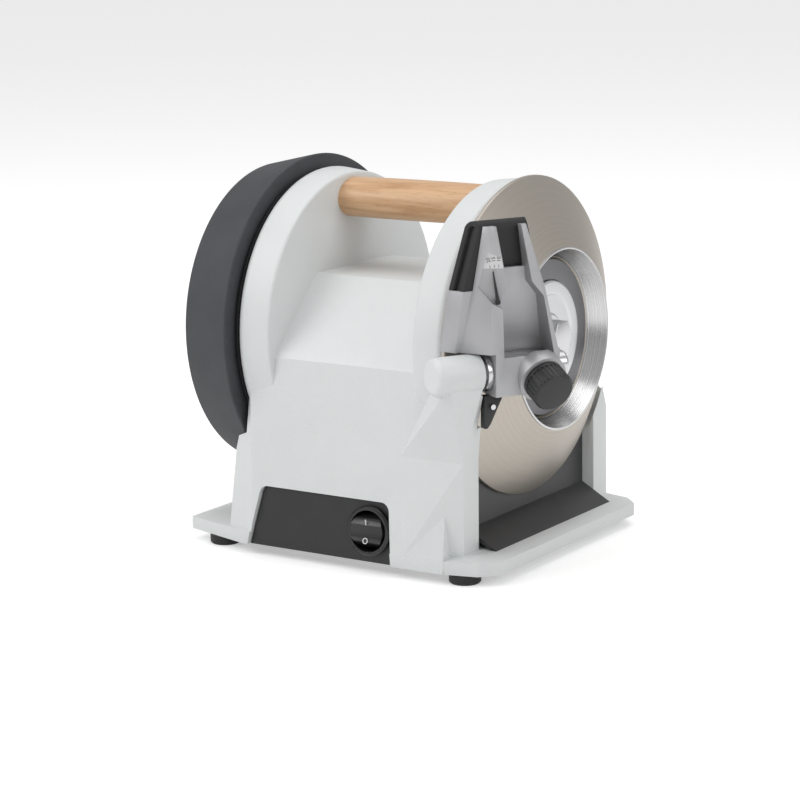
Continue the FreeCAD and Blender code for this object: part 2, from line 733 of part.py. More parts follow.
def cap_nut(radius, length, x0, way):
    """A hexagonal nut with a domed cap, x0 is its seat."""
    hexagon = [V(x0, radius * math.cos(math.radians(60 * k)), radius * math.sin(math.radians(60 * k)))
               for k in range(6)]
    face = Part.Face(Part.makePolygon(hexagon + hexagon[:1]))
    nut = face.extrude(V(way * length, 0, 0))
    hole = Part.makeCylinder(SHAFT_RADIUS, length * 0.7, V(x0, 0, 0), V(way, 0, 0))
    return nut.cut(hole)


def shaft_end_right():
    return HUB_FACE_DEPTH - HUB_RECESS + HUB_DISC_THICK + WHEEL_NUT_LENGTH * 0.7


def shaft_end_left():
    return HONE_LEFT - HONE_FLANGE_THICK - HONE_NUT_LENGTH * 0.7


def make_spindle_shaft():
    """Steel shaft with a collar that each wheel is clamped against."""
    shaft = ring(SHAFT_RADIUS, 0, shaft_end_left(), shaft_end_right())
    collar_r = ring(COLLAR_RADIUS, 0, CHEEK_R_OUT - COLLAR_SET, HUB_FACE_DEPTH - HUB_WEB - HUB_RECESS)
    collar_l = ring(COLLAR_RADIUS, 0, HONE_RIGHT, CHEEK_L_OUT + COLLAR_SET)
    return shaft.fuse([collar_r, collar_l]).removeSplitter()


def make_honing_wheel():
    slope = (HONE_RADIUS - HONE_FAR_RADIUS) / HONE_WIDTH
    edge = HONE_EDGE
    return spun([
        (HONE_RIGHT, SHAFT_RADIUS),
        (HONE_RIGHT, HONE_RADIUS - edge),
        (HONE_RIGHT - edge, HONE_RADIUS - edge * slope),
        (HONE_LEFT + edge, HONE_FAR_RADIUS + edge * slope),
        (HONE_LEFT, HONE_FAR_RADIUS - edge),
        (HONE_LEFT, SHAFT_RADIUS),
    ])


def make_honing_flange():
    edge = HONE_FLANGE_THICK / 3
    x0 = HONE_LEFT - HONE_FLANGE_THICK
    return spun([
        (HONE_LEFT, SHAFT_RADIUS),
        (HONE_LEFT, HONE_FLANGE_RADIUS),
        (x0 + edge, HONE_FLANGE_RADIUS),
        (x0, HONE_FLANGE_RADIUS - edge),
        (x0, SHAFT_RADIUS),
    ])


def make_dust_ring():
    """Thin dark ring on the left cheek, behind the honing wheel."""
    return ring(DUST_RING_RADIUS, DUST_RING_BORE, CHEEK_L_OUT - DUST_RING_THICK, CHEEK_L_OUT)


def make_bearing(x0):
    """Ball bearing shown as one ring with a shallow groove on each face."""
    body = ring(BEARING_RADIUS, SHAFT_RADIUS + RUN_FIT, x0, x0 + BEARING_WIDTH)
    mid = (BEARING_RADIUS + SHAFT_RADIUS) / 2
    groove = BEARING_GROOVE
    for x in (x0, x0 + BEARING_WIDTH - groove):
        body = body.cut(ring(mid + groove, mid - groove, x, x + groove))
    return body


def pulley_x():
    return CHEEK_R_IN - WALL * 2 - PULLEY_WIDTH


def make_pulley(radius, bore, z):
    """Flat-belt pulley with a rim on each side."""
    x0 = pulley_x()
    x1 = x0 + PULLEY_WIDTH
    rim = PULLEY_RIM
    high = radius + rim
    profile = [(x0, bore), (x0, high), (x0 + rim, high), (x0 + rim, radius),
               (x1 - rim, radius), (x1 - rim, high), (x1, high), (x1, bore)]
    pulley = spun(profile)
    pulley.translate(V(0, 0, z))
    return pulley


def belt_loop(grow):
    """Solid outline of the belt round both pulleys, larger than the pulleys by grow."""
    big = SPINDLE_PULLEY_RADIUS + grow
    small = MOTOR_PULLEY_RADIUS + grow
    x0 = pulley_x() + PULLEY_RIM + SLIP_GAP
    width = PULLEY_WIDTH - 2 * PULLEY_RIM - 2 * SLIP_GAP
    lean = math.asin((big - small) / -MOTOR_Z)
    c, s = math.cos(lean), math.sin(lean)
    corners = [V(x0, -big * c, -big * s), V(x0, -small * c, MOTOR_Z - small * s),
               V(x0, small * c, MOTOR_Z - small * s), V(x0, big * c, -big * s)]
    low = Part.Arc(corners[1], V(x0, 0, MOTOR_Z - small), corners[2]).toShape()
    top = Part.Arc(corners[3], V(x0, 0, big), corners[0]).toShape()
    left = Part.makeLine(corners[0], corners[1])
    right = Part.makeLine(corners[2], corners[3])
    face = Part.Face(Part.Wire([left, low, right, top]))
    return face.extrude(V(width, 0, 0))


def make_drive_belt():
    return belt_loop(SLIP_GAP + DRIVE_BELT_THICK).cut(belt_loop(SLIP_GAP))


def motor_span():
    """Start of the motor, start of its gearhead and the gearhead's face."""
    face = pulley_x() - BODY_GAP * 2
    return face - GEARHEAD_LENGTH - MOTOR_LENGTH, face - GEARHEAD_LENGTH, face


def make_gear_motor():
    start, head, face = motor_span()
    can = ring(MOTOR_RADIUS, 0, start, head)
    can = can.makeFillet(2, [e for e in can.Edges if e.Length > MOTOR_RADIUS and e.BoundBox.XMax < start + 1])
    gearbox = ring(GEARHEAD_RADIUS, 0, head, face)
    motor = can.fuse(gearbox).cut(ring(MOTOR_SHAFT_RADIUS + RUN_FIT, 0, head, face))
    motor.translate(V(0, 0, MOTOR_Z))
    return motor


def make_motor_shaft():
    _, head, _ = motor_span()
    shaft = ring(MOTOR_SHAFT_RADIUS, 0, head + BODY_GAP, pulley_x() + PULLEY_WIDTH)
    shaft.translate(V(0, 0, MOTOR_Z))
    return shaft


def make_motor_bracket():
    """Saddle under the motor, standing on the bottom plate."""
    start, head, _ = motor_span()
    half = BRACKET_WIDTH / 2
    x0 = start + WALL
    x1 = head - WALL
    foot = box(x0, x1, -half, half, FLOOR_Z, FLOOR_Z + BRACKET_THICK)
    cheeks = box(x0, x1, -MOTOR_RADIUS, MOTOR_RADIUS, FLOOR_Z, MOTOR_Z - MOTOR_RADIUS / 2)
    seat = ring(MOTOR_RADIUS, 0, x0 - CHECK_MARGIN, x1 + CHECK_MARGIN)
    seat.translate(V(0, 0, MOTOR_Z))
    return foot.fuse(cheeks).cut(seat).removeSplitter()


def make_control_board():
    """Circuit board with a capacitor and a coil, upright behind the motor."""
    start, _, _ = motor_span()
    y = front_y(FLOOR_Z + BOARD_HEIGHT, WALL + BLOCK_CORNER_Y) - BOARD_GAP
    x0 = start + WALL
    low = FLOOR_Z + BRACKET_THICK
    board = box(x0, x0 + BOARD_WIDTH, y - BOARD_THICK, y, FLOOR_Z, low + BOARD_HEIGHT)
    parts = [board]
    for share, radius in ((0.3, 5.0), (0.7, 6.5)):
        x = x0 + BOARD_WIDTH * share
        parts.append(cyl_y(radius, x, low + BOARD_HEIGHT / 2, y - BOARD_THICK - BOARD_GAP, y - BOARD_THICK))
    return parts[0].fuse(parts[1:]).removeSplitter()


def make_cord_gland():
    """Bush for the mains lead in the back wall; the lead itself is not shown."""
    y = front_y(GLAND_Z)
    flange = cyl_y(GLAND_RADIUS, GLAND_X, GLAND_Z, y + GLAND_SEAT, y + GLAND_SEAT + GLAND_FLANGE)
    stem = cyl_y(GLAND_RADIUS - WALL / 4, GLAND_X, GLAND_Z, y - GLAND_LENGTH, y + GLAND_SEAT)
    nose = Part.makeCone(GLAND_RADIUS - WALL / 4, CORD_HOLE_RADIUS + WALL / 4, GLAND_NOSE,
                         V(GLAND_X, y + GLAND_SEAT + GLAND_FLANGE, GLAND_Z), Y_AXIS)
    gland = flange.fuse([stem, nose])
    return gland.cut(cyl_y(CORD_HOLE_RADIUS, GLAND_X, GLAND_Z, FRONT_BASE_Y / 2, FRONT_BASE_Y * 2))


def make_front_panel():
    """Dark panel let into the front, with the hole for the switch."""
    panel = panel_slab(PANEL_GAP, PANEL_DEPTH, PANEL_THICK)
    return panel.cut(switch_frame(cyl_y(SWITCH_BODY_RADIUS + RUN_FIT, 0, 0, -PANEL_THICK, 2 * PANEL_THICK)))


def switch_frame(shape):
    """Leans a switch piece drawn about -Y back to the slope of the front face."""
    slope = math.degrees(math.atan((FRONT_BASE_Y - FRONT_LIP_Y) / (LIP_Z - FLOOR_Z)))
    placed = shape.copy()
    placed.rotate(V(0, 0, 0), X_AXIS, -slope)
    placed.translate(V(SWITCH_X, -front_y(SWITCH_Z, PANEL_DEPTH), SWITCH_Z))
    return placed


def make_switch_bezel():
    """Round housing of the rocker switch, open at the front."""
    rim = cyl_y(BEZEL_RADIUS, 0, 0, -BEZEL_PROUD, 0)
    rim = rim.makeChamfer(0.8, [e for e in rim.Edges if e.BoundBox.YMax < -BEZEL_PROUD + 0.1
                                and e.Length > BEZEL_RADIUS])
    barrel = cyl_y(SWITCH_BODY_RADIUS, 0, 0, 0, SWITCH_DEPTH)
    well = cyl_y(ROCKER_RADIUS + ROCKER_GAP, 0, 0, -BEZEL_PROUD, ROCKER_WELL)
    reach = PIVOT_REACH + SLIP_GAP
    ears = Part.makeCylinder(ROCKER_PIVOT_RADIUS + RUN_FIT, 2 * reach, V(-reach, ROCKER_PIVOT_Y, 0), X_AXIS)
    return switch_frame(rim.fuse(barrel).cut(well).cut(ears).removeSplitter())


def make_switch_rocker():
    """Rocker with a dished face, on two short pivots."""
    disc = cyl_y(ROCKER_RADIUS, 0, 0, -BEZEL_PROUD - ROCKER_PROUD, ROCKER_PIVOT_Y)
    dish_radius = ROCKER_RADIUS * ROCKER_DISH_CURVE
    dish_y = -BEZEL_PROUD - ROCKER_PROUD * ROCKER_DISH - dish_radius
    dish = Part.makeCylinder(dish_radius, 4 * ROCKER_RADIUS, V(-2 * ROCKER_RADIUS, dish_y, 0), X_AXIS)
    core = disc.common(Part.makeCylinder(ROCKER_SWING, 4 * ROCKER_RADIUS,
                                         V(-2 * ROCKER_RADIUS, ROCKER_PIVOT_Y, 0), X_AXIS))
    rocker = core.cut(dish)
    start = V(-PIVOT_REACH, ROCKER_PIVOT_Y, 0)
    pivots = Part.makeCylinder(ROCKER_PIVOT_RADIUS, 2 * PIVOT_REACH, start, X_AXIS)
    return switch_frame(rocker.fuse(pivots).removeSplitter())


def make_tray():
    """Dark splash tray: an upright sheet, a crease and a sloping floor."""
    return tray_solid(0)


def make_support_bar():
    """Round steel bar with a rounded free end."""
    start = BAR_ROOT - BAR_DIR * BOSS_LENGTH
    bar = Part.makeCylinder(BAR_RADIUS, BOSS_LENGTH + BAR_FREE, start, BAR_DIR)
    tip = BAR_ROOT + BAR_DIR * BAR_FREE
    ends = [e for e in bar.Edges if e.Length > BAR_RADIUS and (e.BoundBox.Center - tip).Length < BAR_RADIUS]
    circles = [e for e in ends if hasattr(e.Curve, "Radius")]
    return bar.makeFillet(1.5, circles)


def make_bar_cap():
    """Domed cap on the outer end of the boss."""
    seat = BAR_ROOT - BAR_DIR * BOSS_LENGTH
    cap = Part.makeCylinder(CAP_RADIUS, CAP_LENGTH, seat, BAR_DIR * -1)
    rim = [e for e in cap.Edges if hasattr(e.Curve, "Radius")
           and (e.Curve.Center - (seat - BAR_DIR * CAP_LENGTH)).Length < 0.1]
    return cap.makeFillet(CAP_LENGTH * 0.8, rim)


def make_guide_sleeve():
    """Steel sleeve that slides on the bar; the guide tilts about it."""
    length = GUIDE_START - SLEEVE_START + GUIDE_WIDTH + SLEEVE_TAIL
    sleeve = Part.makeCylinder(SLEEVE_RADIUS, length, V(SLEEVE_START, 0, 0), X_AXIS)
    flange = Part.makeCylinder(SLEEVE_FLANGE_RADIUS, SLEEVE_FLANGE, V(SLEEVE_START, 0, 0), X_AXIS)
    bore = Part.makeCylinder(BAR_RADIUS + RUN_FIT, length, V(SLEEVE_START, 0, 0), X_AXIS)
    return on_bar(sleeve.fuse(flange).cut(bore).removeSplitter())


def guide_section(z, left, right, front):
    """Outline of the guide's body at height z; its sides open towards the back."""
    back = belt_front(z) + CHECK_MARGIN
    depth = front + back
    return [V(left, -front, z), V(left - CHEEK_SLOPE_LEFT * depth, back, z),
            V(right + CHEEK_SLOPE_RIGHT * depth, back, z), V(right, -front, z)]


def belt_front(z):
    """Depth of the belt's front face at height z."""
    return BELT_BACK - BELT_DEPTH - math.tan(math.radians(BELT_LEAN)) * (z - BELT_FOOT)


def lean_back(shape):
    """Leans a shape drawn upright behind the belt's front to the belt's slope."""
    placed = shape.copy()
    placed.rotate(V(0, BELT_BACK, BELT_FOOT), X_AXIS, BELT_LEAN)
    return placed


def knob_place(shape):
    """Moves a piece drawn about -Y to the knob's place on the guide."""
    placed = shape.copy()
    placed.rotate(V(0, 0, 0), X_AXIS, KNOB_TILT)
    placed.translate(V(GUIDE_START + KNOB_X, -KNOB_SEAT, KNOB_Z))
    return placed


def pocket_solid():
    """The open pocket between the two cheeks; a low wall stays in front of the belt."""
    high = GUIDE_TOP + CHECK_MARGIN
    outline = [(POCKET_LEFT, POCKET_FLOOR), (POCKET_BEND_LEFT, POCKET_BEND), (POCKET_KNEE_LEFT, POCKET_KNEE),
               (POCKET_TOP_LEFT, high), (POCKET_TOP_RIGHT, high), (POCKET_KNEE_RIGHT, POCKET_KNEE),
               (POCKET_BEND_RIGHT, POCKET_BEND), (POCKET_RIGHT, POCKET_FLOOR)]
    pocket = front_prism(outline, -GUIDE_FRONT - CHECK_MARGIN, BELT_BACK)
    front = BELT_BACK - BELT_DEPTH - BODY_GAP / 2 - POCKET_BACK_WALL
    wall = box(-GUIDE_WIDTH, 2 * GUIDE_WIDTH, front, front + GUIDE_WIDTH, -GUIDE_BOTTOM, POCKET_BACK_TOP)
    return pocket.cut(lean_back(wall))


def window_frame(shape):
    """Moves a shape from the scale window's frame onto the left cheek's front edge."""
    placed = shape.copy()
    placed.rotate(V(0, 0, 0), Z_AXIS, -WINDOW_TURN)
    placed.translate(V(WINDOW_X, WINDOW_Y, 0))
    return placed


def window_prism(depth0, depth1):
    """Slanted outline of the scale window, in the window's own frame."""
    outline = [(WINDOW_LEFT, WINDOW_MID), (WINDOW_TOP_LEFT, WINDOW_HIGH),
               (WINDOW_TOP_RIGHT, WINDOW_HIGH - WINDOW_FALL), (WINDOW_RIGHT, WINDOW_MID + WINDOW_FALL),
               (WINDOW_FOOT_RIGHT, WINDOW_LOW), (WINDOW_FOOT_LEFT, WINDOW_LOW + WINDOW_FALL)]
    return front_prism(outline, depth0, depth1)


def belt_prism(grow, low, high):
    """Stadium section of the support belt from low to high, leaning away from the wheel."""
    r = BELT_DEPTH / 2 - grow
    z0 = low + BELT_DEPTH / 2
    z1 = high - BELT_DEPTH / 2
    x0 = -GUIDE_WIDTH
    corners = [V(x0, -r, z0), V(x0, -r, z1), V(x0, r, z1), V(x0, r, z0)]
    top = Part.Arc(corners[1], V(x0, 0, z1 + r), corners[2]).toShape()
    bottom = Part.Arc(corners[3], V(x0, 0, z0 - r), corners[0]).toShape()
    left = Part.makeLine(corners[0], corners[1])
    right = Part.makeLine(corners[2], corners[3])
    prism = Part.Face(Part.Wire([left, top, right, bottom])).extrude(V(3 * GUIDE_WIDTH, 0, 0))
    prism.translate(V(0, BELT_BACK - BELT_DEPTH / 2, 0))
    return lean_back(prism)


def above(shape, z):
    """Keeps what stands higher than z in the guide's frame."""
    return shape.common(box(-GUIDE_WIDTH, 3 * GUIDE_WIDTH, -GUIDE_WIDTH, GUIDE_WIDTH, z, 2 * GUIDE_TOP))


def belt_space():
    """Everything behind the belt's front face, with a gap, for trimming the guide's body."""
    front = BELT_BACK - BELT_DEPTH - BODY_GAP / 2
    space = box(-GUIDE_WIDTH, 2 * GUIDE_WIDTH, front, front + GUIDE_WIDTH, BELT_FOOT, 2 * GUIDE_TOP)
    return above(lean_back(space), GUIDE_WAIST)


def side_block(z0, left0, right0, z1, left1, right1, inset=0.0):
    """Tapering block that trims a piece to its width at two heights; it widens backwards."""
    def outline(y):
        out = BELT_SLOPE * y - inset
        return [V(left0 - out, y, z0), V(left1 - out, y, z1), V(right1 + out, y, z1), V(right0 + out, y, z0)]
    reach = 2 * BELT_DEPTH
    return ruled(outline(-reach), outline(reach))


def belt_sides(inset):
    return side_block(GUIDE_WAIST, BELT_LOW_LEFT, BELT_LOW_RIGHT, BELT_TOP + CHECK_MARGIN,
                      BELT_TOP_LEFT, BELT_TOP_RIGHT, inset)


def make_column():
    """Rear part of the cast body, in line with the belt that stands on it."""
    sides = side_block(0, COLUMN_LOW_LEFT, COLUMN_LOW_RIGHT, GUIDE_WAIST, BELT_LOW_LEFT, BELT_LOW_RIGHT)
    return above(belt_prism(0, 0, BELT_TOP).common(sides), GUIDE_LOW)


def make_guide_belt():
    """Rubber band on which the blade lies, stretched over a core."""
    band = belt_prism(0, BELT_FOOT, BELT_TOP).cut(belt_prism(BELT_WALL, BELT_FOOT, BELT_TOP))
    return on_bar(above(band.common(belt_sides(0)), GUIDE_WAIST))


def make_belt_core():
    """Plastic core inside the band, a little narrower than it."""
    core = belt_prism(BELT_WALL, BELT_FOOT, BELT_TOP).common(belt_sides(BELT_RECESS))
    return on_bar(above(core, GUIDE_WAIST))


def make_guide_body():
    """Cast A-shaped guide: a hub round the bar and two cheeks with a pocket between."""
    foot = guide_section(GUIDE_LOW, GUIDE_LOW_LEFT, GUIDE_LOW_RIGHT, GUIDE_FRONT)
    waist = guide_section(GUIDE_WAIST, GUIDE_WAIST_LEFT, GUIDE_WAIST_RIGHT, GUIDE_WAIST_FRONT)
    head = guide_section(GUIDE_TOP, GUIDE_TOP_LEFT, GUIDE_TOP_RIGHT, GUIDE_TOP_FRONT)
    left, right = GUIDE_START, GUIDE_START + GUIDE_WIDTH
    lower = box(left, right, -GUIDE_FRONT, 0, -GUIDE_BOTTOM, GUIDE_LOW)
    hub = Part.makeCylinder(GUIDE_BOSS_RADIUS, GUIDE_WIDTH, V(left, 0, 0), X_AXIS)
    seat = knob_place(cyl_y(KNOB_BOSS_RADIUS, 0, 0, 0, KNOB_SEAT))
    seat = seat.common(box(left, right + KNOB_BOSS_RADIUS, -GUIDE_WIDTH, 0, -GUIDE_WIDTH, GUIDE_LOW))
    body = ruled(foot, waist).fuse([ruled(waist, head), make_column(), lower, hub, seat])
    body = body.cut(pocket_solid())
    body = body.cut(belt_space())
    body = body.cut(window_frame(window_prism(-GUIDE_WIDTH / 2, WINDOW_DEPTH)))
    reach = GUIDE_WIDTH + 2 * KNOB_BOSS_RADIUS
    bore = Part.makeCylinder(SLEEVE_RADIUS + RUN_FIT, reach, V(left - KNOB_BOSS_RADIUS, 0, 0), X_AXIS)
    body = body.cut(bore)
    body = body.cut(knob_place(cyl_y(STUD_RADIUS + RUN_FIT, 0, 0, -CHECK_MARGIN, STUD_LENGTH)))
    return on_bar(body.removeSplitter())


def make_lock_knob():
    """Ribbed knob that locks the guide on the bar."""
    knob = cyl_y(KNOB_RADIUS, 0, 0, -KNOB_LENGTH - SLIP_GAP, -SLIP_GAP)
    front = [e for e in knob.Edges if e.BoundBox.YMax < -KNOB_LENGTH and e.Length > KNOB_RADIUS]
    knob = knob.makeChamfer(1.0, front)
    grooves = []
    for k in range(KNOB_RIBS):
        angle = 2 * math.pi * k / KNOB_RIBS
        spot = V(KNOB_RADIUS * math.cos(angle), -KNOB_LENGTH - SLIP_GAP, KNOB_RADIUS * math.sin(angle))
        grooves.append(Part.makeCylinder(KNOB_RIB_DEPTH, KNOB_LENGTH - 2, spot, Y_AXIS))
    knob = knob.cut(Part.makeCompound(grooves))
    knob = knob.cut(cyl_y(STUD_RADIUS, 0, 0, -KNOB_LENGTH / 2, 0))
    return on_bar(knob_place(knob))


def make_knob_stud():
    return on_bar(knob_place(cyl_y(STUD_RADIUS, 0, 0, -KNOB_LENGTH / 2, STUD_LENGTH - BODY_GAP)))


def make_scale_plate():
    """Plate for the angle marks at the head of the window."""
    plate = window_prism(WINDOW_DEPTH - SCALE_THICK, WINDOW_DEPTH)
    low = WINDOW_HIGH - SCALE_HEIGHT
    plate = plate.common(box(WINDOW_LEFT, WINDOW_RIGHT, 0, GUIDE_WIDTH, low, WINDOW_HIGH))
    return on_bar(window_frame(plate))


def make_angle_pointer():
    """Tapered needle on a small round pivot at the foot of the window."""
    face = WINDOW_DEPTH - SCALE_THICK - SLIP_GAP
    outline = [(-POINTER_HALF, 0), (-POINTER_TIP_HALF, POINTER_LENGTH), (POINTER_TIP_HALF, POINTER_LENGTH),
               (POINTER_HALF, 0)]
    blade = front_prism(outline, face - POINTER_THICK, face)
    hub = cyl_y(POINTER_PIVOT_RADIUS, 0, 0, face - POINTER_THICK, face)
    pointer = blade.fuse(hub).removeSplitter()
    pointer.rotate(V(0, 0, 0), Y_AXIS, -POINTER_LEAN)
    pointer.translate(V(POINTER_X, 0, POINTER_Z))
    return on_bar(window_frame(pointer))


def make_stop_clip():
    """Black plastic stop that hangs under the left end of the guide."""
    low = -GUIDE_BOTTOM - CLIP_LENGTH
    outline = [(CLIP_X, -GUIDE_BOTTOM), (CLIP_X + CLIP_WIDTH, -GUIDE_BOTTOM),
               (CLIP_X + CLIP_FOOT, low + CLIP_SLANT), (CLIP_X + CLIP_FOOT / 2, low), (CLIP_X, low)]
    return on_bar(front_prism(outline, CLIP_Y, CLIP_Y + CLIP_THICK))


def make_clip_pin():
    """Small steel pin through the stop."""
    spot = V(CLIP_X + CLIP_WIDTH / 3, CLIP_Y - CLIP_PIN_LENGTH / 2, -GUIDE_BOTTOM - CLIP_LENGTH / 3)
    return on_bar(Part.makeCylinder(CLIP_PIN_RADIUS, CLIP_PIN_LENGTH / 2, spot, Y_AXIS))


NODES = {
    "housing": lambda: cut_handle_seats(make_housing()),
    "base_plate": make_base_plate,
    "base_screws": make_base_screws,
    "rubber_feet": make_feet,
    "front_panel": make_front_panel,
    "right_tray": make_tray,
    "switch_bezel": make_switch_bezel,
    "switch_rocker": make_switch_rocker,
    "carry_handle": make_handle,
    "handle_screws": make_handle_screws,
    "support_bar": make_support_bar,
    "bar_cap": make_bar_cap,
    "bearing_right": lambda: make_bearing(CHEEK_R_IN + BEARING_INSET),
    "bearing_left": lambda: make_bearing(CHEEK_L_IN - BEARING_INSET - BEARING_WIDTH),
    "dust_ring": make_dust_ring,
    "gear_motor": make_gear_motor,
    "motor_bracket": make_motor_bracket,
    "control_board": make_control_board,
    "cord_gland": make_cord_gland,
    "drive_belt": make_drive_belt,
    "spindle_shaft": make_spindle_shaft,
    "diamond_wheel": make_diamond_wheel,
    "wheel_flange": make_wheel_flange,
    "hub_disc": make_hub_disc,
    "wheel_nut": lambda: cap_nut(WHEEL_NUT_RADIUS, WHEEL_NUT_LENGTH,
                                 HUB_FACE_DEPTH - HUB_RECESS + HUB_DISC_THICK, 1),
    "honing_wheel": make_honing_wheel,
    "honing_flange": make_honing_flange,
    "honing_nut": lambda: cap_nut(HONE_NUT_RADIUS, HONE_NUT_LENGTH, HONE_LEFT - HONE_FLANGE_THICK, -1),
    "spindle_pulley": lambda: make_pulley(SPINDLE_PULLEY_RADIUS, SHAFT_RADIUS, 0),
    "motor_shaft": make_motor_shaft,
    "motor_pulley": lambda: make_pulley(MOTOR_PULLEY_RADIUS, MOTOR_SHAFT_RADIUS, MOTOR_Z),
    "guide_sleeve": make_guide_sleeve,
    "guide_body": make_guide_body,
    "guide_belt": make_guide_belt,
    "belt_core": make_belt_core,
    "scale_plate": make_scale_plate,
    "angle_pointer": make_angle_pointer,
    "lock_knob": make_lock_knob,
    "knob_stud": make_knob_stud,
    "stop_clip": make_stop_clip,
    "clip_pin": make_clip_pin,
}


def main():
    os.makedirs("parts", exist_ok=True)
    shift = V(RIM_X, SPINDLE_Y, SPINDLE_HEIGHT)
    for name, make in NODES.items():
        shape = make()
        shape.translate(shift)
        size = shape.BoundBox
        print(name, len(shape.Solids), shape.isValid(), round(shape.Volume),
              [round(v, 1) for v in (size.XMin, size.XMax, size.YMin, size.YMax, size.ZMin, size.ZMax)])
        shape.exportStep(f"parts/{name}.step")


main()
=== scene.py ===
import json
import math

import bmesh
import bpy
from bpy.props import FloatProperty, FloatVectorProperty, IntProperty, PointerProperty
from mathutils import Matrix, Vector


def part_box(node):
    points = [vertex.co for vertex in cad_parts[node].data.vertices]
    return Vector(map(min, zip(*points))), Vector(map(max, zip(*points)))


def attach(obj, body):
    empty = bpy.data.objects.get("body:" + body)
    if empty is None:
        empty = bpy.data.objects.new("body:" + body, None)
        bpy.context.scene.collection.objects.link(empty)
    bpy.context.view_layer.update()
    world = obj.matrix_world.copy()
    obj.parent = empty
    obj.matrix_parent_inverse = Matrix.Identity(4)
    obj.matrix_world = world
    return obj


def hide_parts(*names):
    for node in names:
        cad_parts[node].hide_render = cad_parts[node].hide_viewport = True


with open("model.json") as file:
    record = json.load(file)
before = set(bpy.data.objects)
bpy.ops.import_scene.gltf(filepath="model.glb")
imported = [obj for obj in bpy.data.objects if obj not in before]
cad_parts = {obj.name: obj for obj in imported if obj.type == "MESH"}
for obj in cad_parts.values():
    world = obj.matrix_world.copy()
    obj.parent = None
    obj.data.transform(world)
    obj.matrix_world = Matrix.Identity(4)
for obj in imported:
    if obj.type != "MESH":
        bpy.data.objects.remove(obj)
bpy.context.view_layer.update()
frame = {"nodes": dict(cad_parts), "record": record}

bl_info = {
    "name": "Electric knife sharpener",
    "version": (1, 0, 0),
    "blender": (4, 5, 0),
    "location": "View3D > Sidebar > Sharpener",
    "description": "Dresses the bench knife sharpener's frame with its finished pieces",
    "category": "Object",
}

NODES = frame["nodes"]
JOINTS = {joint["name"]: joint for joint in frame["record"]["behaviour"]["joints"]}
SPINDLE = Vector(JOINTS["spindle_turn"]["pos_m"])
MM = 0.001

# Millimetres about the spindle, from the plane of the grinding wheel's rim
WHEEL_RADIUS = 75.0
CONE_ANGLE = 29.0
RIM_THICK = 1.4
RIM_DEEP = 4.0
CUP_THICK = 6.4
CUP_STEP = 2.0
BORE_EDGE_RADIUS = 42.0
BORE_FOOT_RADIUS = 38.0
BORE_FOOT_X = 9.5
BORE_FOOT_SLOPE = 1.5
WEB_X = 8.0
WEB_THICK = 4.0
FACE_INNER_X = (WHEEL_RADIUS - BORE_EDGE_RADIUS) * math.tan(math.radians(CONE_ANGLE))
HONE_RIGHT = -118.6
HONE_LEFT = -146.8
HONE_RADIUS = 79.9
HONE_FAR_RADIUS = 73.6
HONE_EDGE = 1.2
HONE_FAR_EDGE = 1.6
SHAFT_RADIUS = 5.0

# The bright lining of the bore and the line at its edge, as steps along X and outwards
LINER_LIFT = 0.12
LINER_OVERLAP = 0.1
LINER_THICK = 0.3
LINER_FOOT = 0.15
LINER_SEAT = 0.4
EDGE_LINE = ((-0.35, 0.75), (0.1, 0.75), (0.32, 0.3), (0.22, -0.2), (-0.3, -0.1))

# The hub in the bore
FLANGE_INNER_RADIUS = 27.0
FLANGE_RADIUS = 36.5
FLANGE_THICK = 1.6
DISC_RADIUS = 26.7
DISC_THICK = 3.0
GROOVE_OUTER_RADIUS = 20.5
GROOVE_INNER_RADIUS = 10.5
GROOVE_SLOPE = 1.0
GROOVE_DEPTH = 0.7

# The wooden grip
GRIP_ROWS = 12
GRIP_STEPS = 96
GRIP_END_RADIUS = 2.5
GRIP_SWELL = 0.3

# The rocker's dished face and its two marks
ROCKER_LEAN = -5.344
ROCKER_DISH_RADIUS = 19.6
ROCKER_FACE_Y = -7.68
MARK_PLACE_Z = 4.3
MARK_SINK = 0.1
ON_HALF_WIDTH = 0.28
ON_HALF_HEIGHT = 1.35
OFF_RADIUS = 1.45
OFF_INNER_RADIUS = 0.98
OFF_HEIGHT = 0.16

# Metres: soft edges, and how near two corners are before they become one
CASTING_EDGE = 0.0005
SMALL_EDGE = 0.0003
KNOB_EDGE = 0.0002
MERGE_GAP = 0.0000005
NODE_MERGE_GAP = 0.00001

# Metres, and the share of white that the floor adds to its own light
FLOOR_REACH = 40.0
FLOOR_LIFT = 0.35

# The photograph's camera in degrees, metres from the spindle, and millimetres
CAMERA_AZIMUTH = 33.360
CAMERA_TILT = 11.785
CAMERA_ROLL = -0.962
CAMERA_OFFSET = (0.59827, -1.02010, 0.21655)
CAMERA_LENS = 115.39
CAMERA_SENSOR = 36

# Each lamp's place and size in metres, and its power in watts
LAMPS = (
    ("key_lamp", (-1.0, -1.2, 1.2), 1.2, 13),
    ("top_lamp", (0.1, 0.2, 1.7), 1.4, 10),
    ("right_lamp", (1.6, -0.2, 0.9), 0.8, 5),
)
LAMP_AIM = (0, 0, 0.1)
WORLD_LIGHT = 0.55
WORLD_SEEN = 1.0

# The knife guide, in its own frame
TILT_MARK = 20.0
WINDOW_X = 3.3
WINDOW_Y = -8.4
WINDOW_TURN = 32.0
SCALE_FACE_Y = 2.6
SCALE_PIVOT_X = 2.7
SCALE_PIVOT_Z = 32.2
SCALE_REACH = 18.9
SCALE_MIDDLE = 5.3
SCALE_STEP = 7.0
TICK_START = 15.3
TICK_END = 16.5
TICK_HALF_WIDTH = 0.12
TICK_LIFT = 0.02
TICK_SINK = 0.1
FIGURE_HEIGHT = 2.3
FIGURE_RISE = 0.04
PRINT_LIFT = 0.06


